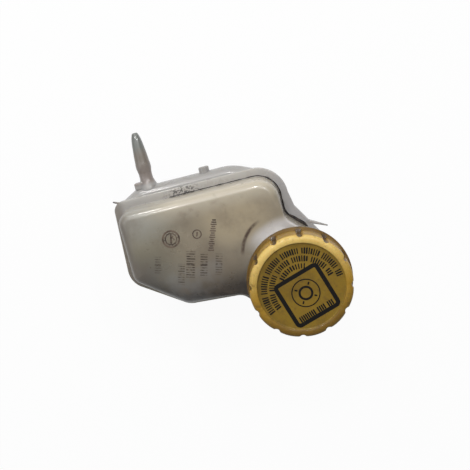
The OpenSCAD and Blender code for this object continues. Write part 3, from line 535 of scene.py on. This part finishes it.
make_piece("tank_lower_shell", [
    chamber_grid(), arm_grid(), lower_flange_grid(),
    turned(nipple_profile, NIPPLE, "y", 48, False),
    block([-55, 38.7, 24.75], [-47.5, 42.7, 32.25], 0.8),
    turned(stub_profile, STUB, "y", 40, False),
    turned(spigot, FRONT_OUTLET), turned(spigot, REAR_OUTLET),
    ear_grid(6.5, 9.5), ear_grid(-9.5, -6.5),
    turned([(7, 1.5), (8.5, 1.5), (8.5, 7.5), (7, 7.5)], FLOAT_AXIS),
    turned(guide, FLOAT_AXIS, "z", 48, False),
    block([-28.5, 17.7, 8], [-27, 19.3, 10]), block([-17, 17.7, 8], [-15.5, 19.3, 10]),
    block([-22.75, -22, 7.5], [-21.25, 3.3, 28.5]), chamber_wall_grid()],
    plastic, "tank", ["lower_shell"])

# Seam dirt and shade: black grease and dust that has settled in the corner between the upper shell's wall and
# its flange, a thin line along the long wall that swells beside the filler neck into a dark wad of painted
# shade.
def seam_bead():
    """A bead along the foot of the wall: a round section carried along the plan's outline, whose
    radius grows along it with a slow wave of its own."""
    outline = plan_rings(UPPER_PLAN, [np.zeros(9)], [np.full(9, WELD_Z + FLANGE_T)], 40, 60)[0]
    x, y = outline[:, 0], outline[:, 1]
    wanted = ((y > 30.5) & (x > -37)) | ((x > 12) & (y > -4.5) & (y > 8.5 - x * 0.6))
    path = outline[wanted]
    path = path[np.argsort(-np.arctan2(path[:, 1] - 3, path[:, 0] + 20))][::-1]
    way = np.gradient(path, axis=0)
    way /= np.linalg.norm(way, axis=1, keepdims=True)
    side = np.stack([way[:, 1], -way[:, 0], np.zeros(len(way))], 1)
    run = np.concatenate([[0], np.cumsum(np.linalg.norm(np.diff(path, axis=0), axis=1))])
    run = run[-1] - run
    thick = 0.3 + 0.14 * np.sin(run * 0.9) * np.sin(run * 0.23 + 1) + 0.3 * np.clip((run - 50) / 20, 0, 1)
    # Painted shade: the bead swells into a dark wad beside the neck where the flare shades the corner.
    thick = thick + 0.75 * np.clip((run - 78) / 12, 0, 1)
    thick = thick * np.clip(run / 4, 0, 1) * np.clip((run[0] - run) / 3, 0.0, 1)
    angle = np.linspace(0, 2 * np.pi, 10, endpoint=False)
    loop = np.cos(angle)[:, None, None] * side + np.sin(angle)[:, None, None] * np.array([0, 0, 0.7])
    return np.moveaxis(path + thick[:, None] * loop, 0, 1), False, True


grease_and_shade = Finish("seam_dirt_and_shade", Roughness=0.8)
crumbs = grease_and_shade.noise(700, 5, 0.7)
grime_and_shade = grease_and_shade.blend(grease_and_shade.step(crumbs, 0.4, 0.75), colour(22, 19, 22), colour(78, 66, 56))
grease_and_shade.wire("Base Color", grime_and_shade)
grease_and_shade.bump(crumbs, 0.8, 0.0003)
make_piece("seam_dirt_and_shade", [seam_bead()], grease_and_shade.material, "tank")

# Marks in the mould: a round date dial, a small round stamp and columns of plain raised bars on the
# flat top, all a tenth of a millimetre proud of it, with brown dirt held round them.
MARK_H = 0.12


def flat_ring(centre, z, radius, width, height=MARK_H):
    """A flat raised ring: a small section with a rounded crown carried along a circle."""
    angle = np.linspace(0, 2 * np.pi, 72, endpoint=False)
    section = np.array([(-0.5, -0.3), (-0.5, 0.6), (-0.3, 1), (0.3, 1), (0.5, 0.6), (0.5, -0.3)])
    r = radius + section[:, 0] * width
    x = centre[0] + np.cos(angle)[:, None] * r
    y = centre[1] + np.sin(angle)[:, None] * r
    return np.stack([x, y, np.broadcast_to(z + section[:, 1] * height, x.shape)], -1), True, True


def flat_bar(centre, z, length, width, turn, height=MARK_H):
    """A flat raised bar with rounded ends, turned about +Z; its top and foot close at poles."""
    angle = np.linspace(0, 2 * np.pi, 12, endpoint=False)
    outline = np.stack([np.cos(angle) * width / 2 + np.sign(np.cos(angle)) * (length - width) / 2,
                        np.sin(angle) * width / 2], 1)
    t = np.radians(turn)
    spin = np.array([[np.cos(t), np.sin(t)], [-np.sin(t), np.cos(t)]])
    levels = [(0.0, -0.3), (1, -0.3), (1, 0.6), (0.85, 1), (0.0, 1)]
    return np.stack([np.concatenate([outline @ spin * s + centre, np.full((12, 1), z + h * height)], 1)
                     for s, h in levels]), False, True


moulded = Finish("moulded_marks", Roughness=0.5)
held = moulded.noise(240, 4, 0.6)
brown = moulded.blend(moulded.step(held, 0.35, 0.65), colour(58, 44, 36), colour(104, 88, 74))
moulded.wire("Base Color", brown)
moulded.bump(held, 0.4, 0.0002)
dial = (-38.9, 10.3)
marks = [flat_ring(dial, TOP_Z, 4.5, 0.9), flat_ring(dial, TOP_Z, 3.1, 0.6),
         flat_bar(dial, TOP_Z, 5.4, 0.9, 78), flat_bar((-38.2, 11.2), TOP_Z, 2.2, 0.7, 30),
         flat_bar((-37.6, 10.3), TOP_Z, 2.2, 0.7, 120)]
for t in np.linspace(0, 2 * np.pi, 12, endpoint=False):
    tick = (dial[0] + 3.75 * np.cos(t), dial[1] + 3.75 * np.sin(t))
    marks.append(flat_bar(tick, TOP_Z, 0.8, 0.3, np.degrees(t)))
stamp = (-24.4, 9.5)
marks += [flat_ring(stamp, TOP_Z, 2.3, 0.6), flat_bar(stamp, TOP_Z, 2.6, 0.8, 70)]
for k, share in enumerate(np.linspace(0, 1, 15)):
    bar = (-13.4 - 5.8 * share, 14.8 - 15.7 * share)
    marks.append(flat_bar(bar, TOP_Z, 2.2 + 0.6 * ((k * 7) % 3), 0.74, -16))
make_piece("mould_marks", marks, moulded.material, "tank")

# Cap: a yellow screw cap moulded in one piece, with a base ring, twelve rounded grip lobes and a
# disc sunk below its rim. A helical rib inside the skirt runs in the neck's thread.
# Brown dirt sits in the notches between the lobes, and painted shadow lies under the rim round one side of
# the disc.
BASE_R, BORE_R, GRIP_R, RIM_R = 28.8, 24.2, 27.2, 24.7
FOOT_Z, GRIP_Z, DISC_Z, PLATE_Z, EDGE_Z = 62.6, 65.8, 81.7, 79.5, 80.2
EDGE_R = 2.4
LOBES, LOBE_TURN = 12, 18.5
NOTCH_R, NOTCH_AT_R, NOTCH_EASE = 1.75, 27.8, 0.3


def cap_grid():
    """The cap as a profile turned about the neck's axis. The side's radius swells by half a
    millimetre on each lobe, and each notch is the near side of a small upright cylinder: the radius
    is the smaller of the two, eased into each other. The rim dips a little over each notch."""
    disc = [(0, DISC_Z), (8, DISC_Z), (16, DISC_Z), (22.2, DISC_Z), (22.8, 81.75), (23.05, 81.95),
            (23.2, 82.3), (23.5, 82.52)]
    edge = [(RIM_R + EDGE_R * np.sin(t), EDGE_Z + EDGE_R * np.cos(t)) for t in quarter(10)]
    side = [(GRIP_R, z) for z in np.linspace(79.2, 66.6, 12)]
    base = [(27.5, 66.0), (28.0, 65.5), (28.55, 65.1), (28.75, 64.9), (BASE_R, 64.5), (BASE_R, 63.0),
            (28.7, 62.7), (28.4, FOOT_Z)]
    skirt = [(24.5, FOOT_Z), (BORE_R, 62.9)] + [(BORE_R, z) for z in np.linspace(63.2, 78.6, 40)]
    plate = [(23.8, 79.2), (23.2, PLATE_Z), (12, PLATE_Z), (0, PLATE_Z)]
    profile = np.array(disc + edge + side + base + skirt + plate)
    outside = np.arange(len(profile))[:, None] < len(profile) - len(skirt) - len(plate)
    radius, height = profile[:, :1], profile[:, 1:]
    angle = np.linspace(0, 2 * np.pi, 480, endpoint=False)

    # Lobes and notches, on the grip only.
    swell = np.sqrt(np.abs(np.sin((angle - np.radians(LOBE_TURN)) * LOBES / 2)))
    off = np.mod(angle - np.radians(LOBE_TURN) + np.pi / LOBES, 2 * np.pi / LOBES) - np.pi / LOBES
    inner = NOTCH_R ** 2 - (NOTCH_AT_R * np.sin(off)) ** 2
    notch = np.where(inner > 0, NOTCH_AT_R * np.cos(off) - np.sqrt(np.maximum(inner, 0)), 40.0)
    outer = (radius > 24.6) & outside
    grip = outer & (height > GRIP_Z)
    lobed = radius + np.clip((radius - 24.6) / 2.5, 0, 1) * grip * (0.42 * swell - 0.15)
    smooth = -NOTCH_EASE * np.log(np.exp(-lobed / NOTCH_EASE) + np.exp(-notch / NOTCH_EASE))
    r = np.where(grip, smooth, lobed)

    # The rim's dips over the notches, and the thread inside the skirt.
    rim = (height > 81.9) | grip & (height > 80)
    dip = 0.28 * (1 - swell) * np.clip((radius - 22.9) / 1.2, 0, 1)
    z = height - np.where(rim, dip, 0)
    threaded = ~outside & (radius > 24.1) & (height < 78.7) & (height > 62.8)
    r = r - np.where(threaded, neck_helix(angle, height, 66.5, 77.5, 0.85), 0)

    # Dirt in the notches and over the base ring, and painted shadow in the corner round the disc, strongest
    # on one side.
    dirt_and_shade = np.clip((lobed - smooth) / 1.5, 0, 1) * grip + 0.55 * (outer & (height < 66.2)) * (1 - swell)
    painted_rim_shadow = 0.45 * np.exp(-((radius - 22.9) / 0.3) ** 2) * (height > 81)
    dirt_and_shade = dirt_and_shade + painted_rim_shadow * (0.5 - 0.5 * np.cos(angle - np.radians(-55)))
    points = [NECK[0] + r * np.cos(angle), NECK[1] + r * np.sin(angle), np.broadcast_to(z, r.shape)]
    return (np.stack(points, -1), False, True), dirt_and_shade


def yellow_plastic():
    """Yellow plastic gone dull and sooty: painted light on the rim on the lamps' side, painted shade on
    the far side, olive-brown over the disc with painted shadow round its edge, nearly black in the notches,
    with pits and fine scratches."""
    f = Finish("yellow_plastic", IOR=1.47, Specular_IOR_Level=0.4, Subsurface_Weight=0.05,
               Subsurface_Scale=0.002, Coat_Weight=0.18, Coat_Roughness=0.14)
    dirt_and_shade = f.add("ShaderNodeAttribute", {}, "Fac", attribute_name="dirt_and_shade")
    x, y, z = f.split(f.place)
    cloud, fine = f.noise(60, 4, 0.6), f.noise(420, 5, 0.6)
    tone = f.blend(f.step(cloud, 0.3, 0.7), colour(168, 130, 34), colour(138, 102, 20))
    # Painted light: the rim's top is lighter on its side towards the lamps.
    lit = f.both(f.step(y, -0.032, -0.004), f.step(cloud, 0.15, 0.5))
    tone = f.blend(f.both(f.step(z, 0.0796, 0.0818), lit), tone, colour(216, 184, 104))
    # Painted shade: the cap goes darker on the side away from the lamps.
    tone = f.blend(f.both(f.step(y, -0.026, -0.050), 0.85), tone, colour(104, 76, 12))
    low = f.step(z, 0.0720, 0.0645)
    tone = f.blend(f.both(low, 0.8), tone, colour(84, 60, 22))
    disc = f.both(f.step(f.far(0.024, -0.027), 0.0235, 0.0228), f.step(z, 0.0805, 0.0812))
    dull = f.blend(f.step(f.noise(45, 5, 0.65), 0.35, 0.7), colour(130, 102, 20), colour(98, 75, 12))
    tone = f.blend(disc, tone, dull)
    smear = f.both(f.step(fine, 0.52, 0.72), 0.4)
    tone = f.blend(smear, tone, colour(88, 66, 20))
    uneven = f.math("MULTIPLY", f.math("SUBTRACT", fine, 0.5), 0.8)
    # Dirt in the notches and over the base ring, with the painted shadow round the disc, goes near black.
    soot_and_shade = f.step(f.math("ADD", dirt_and_shade, uneven), 0.12, 0.75)
    tone = f.blend(f.both(soot_and_shade, 0.85), tone, colour(58, 37, 6))
    f.wire("Base Color", tone)
    f.wire("Roughness", f.add("ShaderNodeMapRange", {"Value": fine, "From Min": 0.3, "From Max": 0.7,
                                                     "To Min": 0.36, "To Max": 0.58}))
    grain = f.math("ADD", f.math("MULTIPLY", fine, 0.35), f.math("MULTIPLY", cloud, 0.5))
    f.bump(grain, 0.4, 0.0005)
    return f.material


yellow = yellow_plastic()
cap_surface, cap_dirt_and_shade = cap_grid()
make_piece("cap", [cap_surface], yellow, "cap", ["cap_shell"], dirt_and_shade=cap_dirt_and_shade)

# Cap print: black ink pad-printed on the sunk disc, a little off its centre. It has a square frame
# round two plain rings with four short bars between them, and three bowed rows of plain bars.
PRINT = NECK + np.array([0.5, -1.4])
PRINT_Z, PRINT_H, PRINT_TURN = 81.73, 0.02, 17.7


def flat_frame(centre, z, half, width, soft, turn):
    """A flat band round a square with rounded corners: its inner and outer outlines share the same
    points, joined over the top and under the foot."""
    corners = np.radians(turn + 45 + 90 * np.arange(4))
    reach = half * np.sqrt(2)
    plan = np.stack([centre[0] + reach * np.cos(corners), centre[1] + reach * np.sin(corners),
                     np.full(4, soft), np.zeros(4)], 1)
    out = np.array([0.5, 0.5, -0.5, -0.5]) * width
    return plan_rings(plan, out, z + np.array([-1, 1, 1, -1]) * PRINT_H, 6, 2), True, True


def bar_row(centre, z, radius, first, last, height, group, seed):
    """Bars set round an arc from the angle first to last: each is flat and points at the centre,
    their widths and heights vary from a fixed seed, and each group of them ends in a gap."""
    chance = np.random.default_rng(seed)
    count = int(np.radians(abs(last - first)) * radius / 1.22)
    angles = np.linspace(first, last, count)
    wide = chance.choice([0.66, 0.78, 0.94], count)
    tall = height * chance.choice([1.0, 1.0, 0.9], count)
    shown = np.arange(count) % group != group - 1
    bars = []
    for t, w, h in zip(angles[shown], wide[shown], tall[shown]):
        middle = (centre[0] + radius * np.cos(np.radians(t)), centre[1] + radius * np.sin(np.radians(t)))
        bars.append(flat_bar(middle, z, h, w, t, PRINT_H))
    return bars


ink = Finish("print_ink", Roughness=0.55, Specular_IOR_Level=0.25)
worn = ink.noise(900, 5, 0.7)
ink.wire("Base Color", ink.blend(ink.step(worn, 0.60, 0.76), colour(7, 5, 3), colour(70, 54, 18)))
ink.bump(worn, 0.2, 0.0001)
square = PRINT + np.array([1.2, -3.9])
figure = PRINT + np.array([0.9, -2.4])
printed = [flat_frame(square, PRINT_Z, 12.2, 2.2, 1.8, PRINT_TURN),
           flat_ring(figure, PRINT_Z, 7.3, 0.6, PRINT_H), flat_ring(figure, PRINT_Z, 3.3, 1.15, PRINT_H)]
for t in np.radians(PRINT_TURN + 45 + 90 * np.arange(4)):
    middle = figure + 5.3 * np.array([np.cos(t), np.sin(t)])
    printed.append(flat_bar(middle, PRINT_Z, 1.7, 0.9, np.degrees(t), PRINT_H))
foot_way = np.array([np.cos(np.radians(PRINT_TURN)), np.sin(np.radians(PRINT_TURN))])
foot_side = np.array([-foot_way[1], foot_way[0]])
for k, along in enumerate(np.linspace(-9.5, 9.5, 17)):
    if k not in (8, 13):
        middle = square + foot_way * along - foot_side * 9.5
        printed.append(flat_bar(middle, PRINT_Z, 3.2, 0.85, PRINT_TURN + 90, PRINT_H))
printed += bar_row(PRINT, PRINT_Z, 20.3, 205, 8, 3.5, 9, 3)
printed += bar_row(PRINT, PRINT_Z, 16.2, 205, 16, 3.2, 8, 5)
printed += bar_row(PRINT, PRINT_Z, 12.3, 141, 74, 3.0, 30, 7)
make_piece("cap_print", printed, ink.material, "cap")


def dress(finish, *names):
    """Gives CAD nodes a finish in place of their plain one."""
    for name in names:
        nodes[name].data.materials.clear()
        nodes[name].data.materials.append(finish.material)


# Cap insert: a pale disc with a ring that holds the bellows in the cap, with a breathing hole that a
# soft rubber disc covers. The bellows is one black rubber moulding and seals on the neck's rim.
pale = Finish("white_plastic", Subsurface_Weight=0.08, Subsurface_Scale=0.002)
mist = pale.noise(120, 5, 0.6)
yellowed = pale.blend(pale.step(mist, 0.35, 0.7), colour(222, 217, 203), colour(199, 190, 168))
pale.wire("Base Color", yellowed)
pale.wire("Roughness", pale.add("ShaderNodeMapRange", {"Value": mist, "To Min": 0.3, "To Max": 0.5}))
pale.bump(pale.noise(900, 3), 0.2, 0.0002)
dress(pale, "cap_insert", "strainer_frame", "float_stop")
rubber = Finish("black_rubber", Sheen_Weight=0.15)
bloom = rubber.noise(260, 5, 0.65)
bloomed = rubber.blend(rubber.step(bloom, 0.45, 0.75), colour(24, 24, 25), colour(58, 55, 52))
rubber.wire("Base Color", bloomed)
rubber.wire("Roughness", rubber.add("ShaderNodeMapRange", {"Value": bloom, "To Min": 0.5, "To Max": 0.8}))
rubber.bump(rubber.noise(1500, 3), 0.3, 0.0002)
dress(rubber, "vent_disc", "bellows", "sensor_seal")

# Strainer: a pale moulded basket whose rim rests on the neck's shoulder, lined with a fine woven
# mesh. The weave is a grid of upright threads and threads that run round the basket.
weave = Finish("mesh_plastic", Roughness=0.5)
THREADS_ROUND, THREADS_UP = 128, 7854
from_axis = weave.add("ShaderNodeMapping", {"Vector": weave.place, "Location": (-0.024, 0.027, 0)})
east, north, rise = weave.split(from_axis)
around = weave.math("ARCTAN2", north, east)
warp = weave.math("SINE", weave.math("MULTIPLY", around, THREADS_ROUND))
weft = weave.math("SINE", weave.math("MULTIPLY", rise, THREADS_UP))
thread = weave.math("MAXIMUM", warp, weft)
woven = weave.blend(weave.step(thread, 0.2, 0.9), colour(120, 112, 92), colour(228, 224, 210))
weave.wire("Base Color", woven)
weave.bump(thread, 0.6, 0.0002)
dress(weave, "strainer_mesh")

# Float: a hollow ring of pale plastic, stained by the fluid, closed by a welded cover, with a dark
# ferrite ring magnet pressed in from below.
buoyant = Finish("float_plastic", Subsurface_Weight=0.1, Subsurface_Scale=0.002)
stain = buoyant.noise(90, 6, 0.65)
stained = buoyant.blend(buoyant.step(stain, 0.4, 0.7), colour(216, 206, 176), colour(176, 150, 98))
buoyant.wire("Base Color", stained)
buoyant.wire("Roughness", buoyant.add("ShaderNodeMapRange", {"Value": stain, "To Min": 0.35, "To Max": 0.6}))
buoyant.bump(buoyant.noise(600, 4), 0.25, 0.0002)
dress(buoyant, "float_body", "float_cover")
ferrite = Finish("magnet", Metallic=0.3)
grain = ferrite.noise(1300, 4, 0.7)
pitted = ferrite.blend(ferrite.step(grain, 0.4, 0.7), colour(44, 44, 47), colour(82, 80, 80))
ferrite.wire("Base Color", pitted)
ferrite.wire("Roughness", ferrite.add("ShaderNodeMapRange", {"Value": grain, "To Min": 0.4, "To Max": 0.7}))
ferrite.bump(grain, 0.3, 0.0002)
dress(ferrite, "float_magnet")

# Level sensor: a black glass-filled moulding with a stem in the guide tube and a plug shroud under
# the floor. A glass reed switch with tinned leads is inside it, and two plated blades stand in the
# shroud.
black = Finish("black_plastic", Specular_IOR_Level=0.45)
spark = black.noise(1100, 4, 0.7)
dust = black.noise(70, 6, 0.65)
shade = black.blend(black.step(spark, 0.4, 0.7), colour(27, 27, 29), colour(46, 45, 46))
dusty = black.blend(black.both(black.step(dust, 0.5, 0.8), 0.6), shade, colour(92, 84, 74))
black.wire("Base Color", dusty)
black.wire("Roughness", black.add("ShaderNodeMapRange", {"Value": dust, "To Min": 0.38, "To Max": 0.68}))
black.bump(spark, 0.35, 0.0002)
dress(black, "sensor_housing")
glass = Finish("reed_glass", Roughness=0.06, Transmission_Weight=0.85, IOR=1.5)
streak = glass.step(glass.noise(500, 2), 0.4, 0.6)
glass.wire("Base Color", glass.blend(streak, colour(198, 222, 208), colour(176, 206, 190)))
dress(glass, "reed_switch")
tin = Finish("tinned_wire", Metallic=1.0)
brushed = tin.noise(900, 3, 0.6, (1, 1, 0.1))
tin.wire("Base Color", tin.blend(brushed, colour(172, 172, 176), colour(206, 206, 208)))
tin.wire("Roughness", tin.add("ShaderNodeMapRange", {"Value": brushed, "To Min": 0.25, "To Max": 0.45}))
dress(tin, "reed_lead_short", "reed_lead_long")
plated = Finish("terminal_metal", Metallic=1.0)
rolled = plated.noise(800, 4, 0.6, (0.1, 1, 1))
plated.wire("Base Color", plated.blend(rolled, colour(176, 160, 112), colour(208, 194, 150)))
plated.wire("Roughness", plated.add("ShaderNodeMapRange", {"Value": rolled, "To Min": 0.25, "To Max": 0.5}))
plated.bump(rolled, 0.2, 0.0001)
dress(plated, "terminal_left", "terminal_right")

# Stage: a plain pale floor under the tank and a plain pale world, seen as white by the camera, with
# one broad soft lamp from the nipple side, a weaker one from the far end and four small highlights.
STAGE_HALF, STAGE_Z = 3, cad_box[0][2] - 0.0003
STAGE_GLOW, AMBIENT = 0.94, 0.34
floor_mesh = bpy.data.meshes.new("floor")
square_corners = [(x * STAGE_HALF, y * STAGE_HALF, STAGE_Z) for x, y in ((-1, -1), (1, -1), (1, 1), (-1, 1))]
floor_mesh.from_pydata(square_corners, [], [(0, 1, 2, 3)])
paper = bpy.data.materials.new("paper")
paper.use_nodes = True
tree = paper.node_tree
tree.nodes.clear()
cover = tree.nodes.new("ShaderNodeOutputMaterial")
matt = tree.nodes.new("ShaderNodeBsdfDiffuse")
matt.inputs["Color"].default_value = (0.8, 0.8, 0.8, 1)
glow = tree.nodes.new("ShaderNodeEmission")
glow.inputs["Strength"].default_value = 1.0
path = tree.nodes.new("ShaderNodeLightPath")
seen = tree.nodes.new("ShaderNodeMath")
seen.operation = "MAXIMUM"
amount = tree.nodes.new("ShaderNodeMath")
amount.operation = "MULTIPLY"
amount.inputs[1].default_value = STAGE_GLOW
mixed = tree.nodes.new("ShaderNodeMixShader")
for start, end in ((path.outputs["Is Camera Ray"], seen.inputs[0]),
                   (path.outputs["Is Transmission Ray"], seen.inputs[1]),
                   (seen.outputs[0], amount.inputs[0]), (amount.outputs[0], mixed.inputs[0]),
                   (matt.outputs[0], mixed.inputs[1]), (glow.outputs[0], mixed.inputs[2]),
                   (mixed.outputs[0], cover.inputs["Surface"])):
    tree.links.new(start, end)
floor_mesh.materials.append(paper)
floor = bpy.data.objects.new("floor", floor_mesh)
bpy.context.scene.collection.objects.link(floor)

world = bpy.data.worlds.new("pale")
bpy.context.scene.world = world
world.use_nodes = True
sky = world.node_tree
sky.nodes.clear()
sky_out = sky.nodes.new("ShaderNodeOutputWorld")
ambient = sky.nodes.new("ShaderNodeBackground")
ambient.inputs["Color"].default_value = (0.96, 0.98, 1.0, 1)
ambient.inputs["Strength"].default_value = AMBIENT
white = sky.nodes.new("ShaderNodeBackground")
white.inputs["Strength"].default_value = 1.0
sky_path = sky.nodes.new("ShaderNodeLightPath")
sky_mix = sky.nodes.new("ShaderNodeMixShader")
for start, end in ((sky_path.outputs["Is Camera Ray"], sky_mix.inputs[0]),
                   (ambient.outputs[0], sky_mix.inputs[1]), (white.outputs[0], sky_mix.inputs[2]),
                   (sky_mix.outputs[0], sky_out.inputs["Surface"])):
    sky.links.new(start, end)


def lamp(name, spot, aim, size, power, tint=(1, 1, 1)):
    """A square soft lamp at spot that faces aim, both in metres."""
    data = bpy.data.lights.new(name, "AREA")
    data.size, data.energy, data.color = size, power, tint
    light = bpy.data.objects.new(name, data)
    light.location = spot
    way = Vector(aim) - Vector(spot)
    light.rotation_euler = way.to_track_quat("-Z", "Y").to_euler()
    bpy.context.scene.collection.objects.link(light)


lamp("broad_lamp", (0.05, 0.75, 0.75), (-0.01, 0, 0.04), 1.5, 6.9, (1.0, 0.985, 0.96))
lamp("end_lamp", (-0.75, 0.15, 0.70), (-0.01, 0, 0.04), 0.5, 0.8, (0.95, 0.98, 1.0))
for name, spot, power in (("low_highlight", (-0.184, 0.75, 0.40), 0.7),
                          ("far_highlight", (-0.149, 0.46, 0.72), 0.6),
                          ("middle_highlight", (0.05, 0.50, 0.72), 1.0),
                          ("near_highlight", (0.36, 0.42, 0.74), 1.0)):
    lamp(name, spot, (0.0, 0.02, 0.05), 0.05, power)

# Camera: above the tank and leaning towards the nipple side, as the photograph was taken.
TILT_UP, TILT_LEFT, ROLL = np.radians([9.3, -1.3, 14.0])
LENS, CAMERA_AT = 62.09, (0.0226, 0.070816, 0.493292)
right = np.array([np.cos(ROLL), -np.sin(ROLL), 0.0])
up = np.array([np.sin(ROLL), np.cos(ROLL), 0.0])
back = np.array([0.0, 0.0, 1.0])
back, up = back * np.cos(TILT_UP) + up * np.sin(TILT_UP), up * np.cos(TILT_UP) - back * np.sin(TILT_UP)
level_right = right
right = level_right * np.cos(TILT_LEFT) + back * np.sin(TILT_LEFT)
back = back * np.cos(TILT_LEFT) - level_right * np.sin(TILT_LEFT)
camera_data = bpy.data.cameras.new("camera")
camera_data.sensor_width = 36.0
camera_data.lens = LENS
camera = bpy.data.objects.new("camera", camera_data)
turn = Matrix((right, up, back)).transposed()
camera.matrix_world = Matrix.Translation(CAMERA_AT) @ turn.to_4x4()
bpy.context.scene.collection.objects.link(camera)
bpy.context.scene.camera = camera
bpy.context.scene.view_settings.view_transform = "Standard"
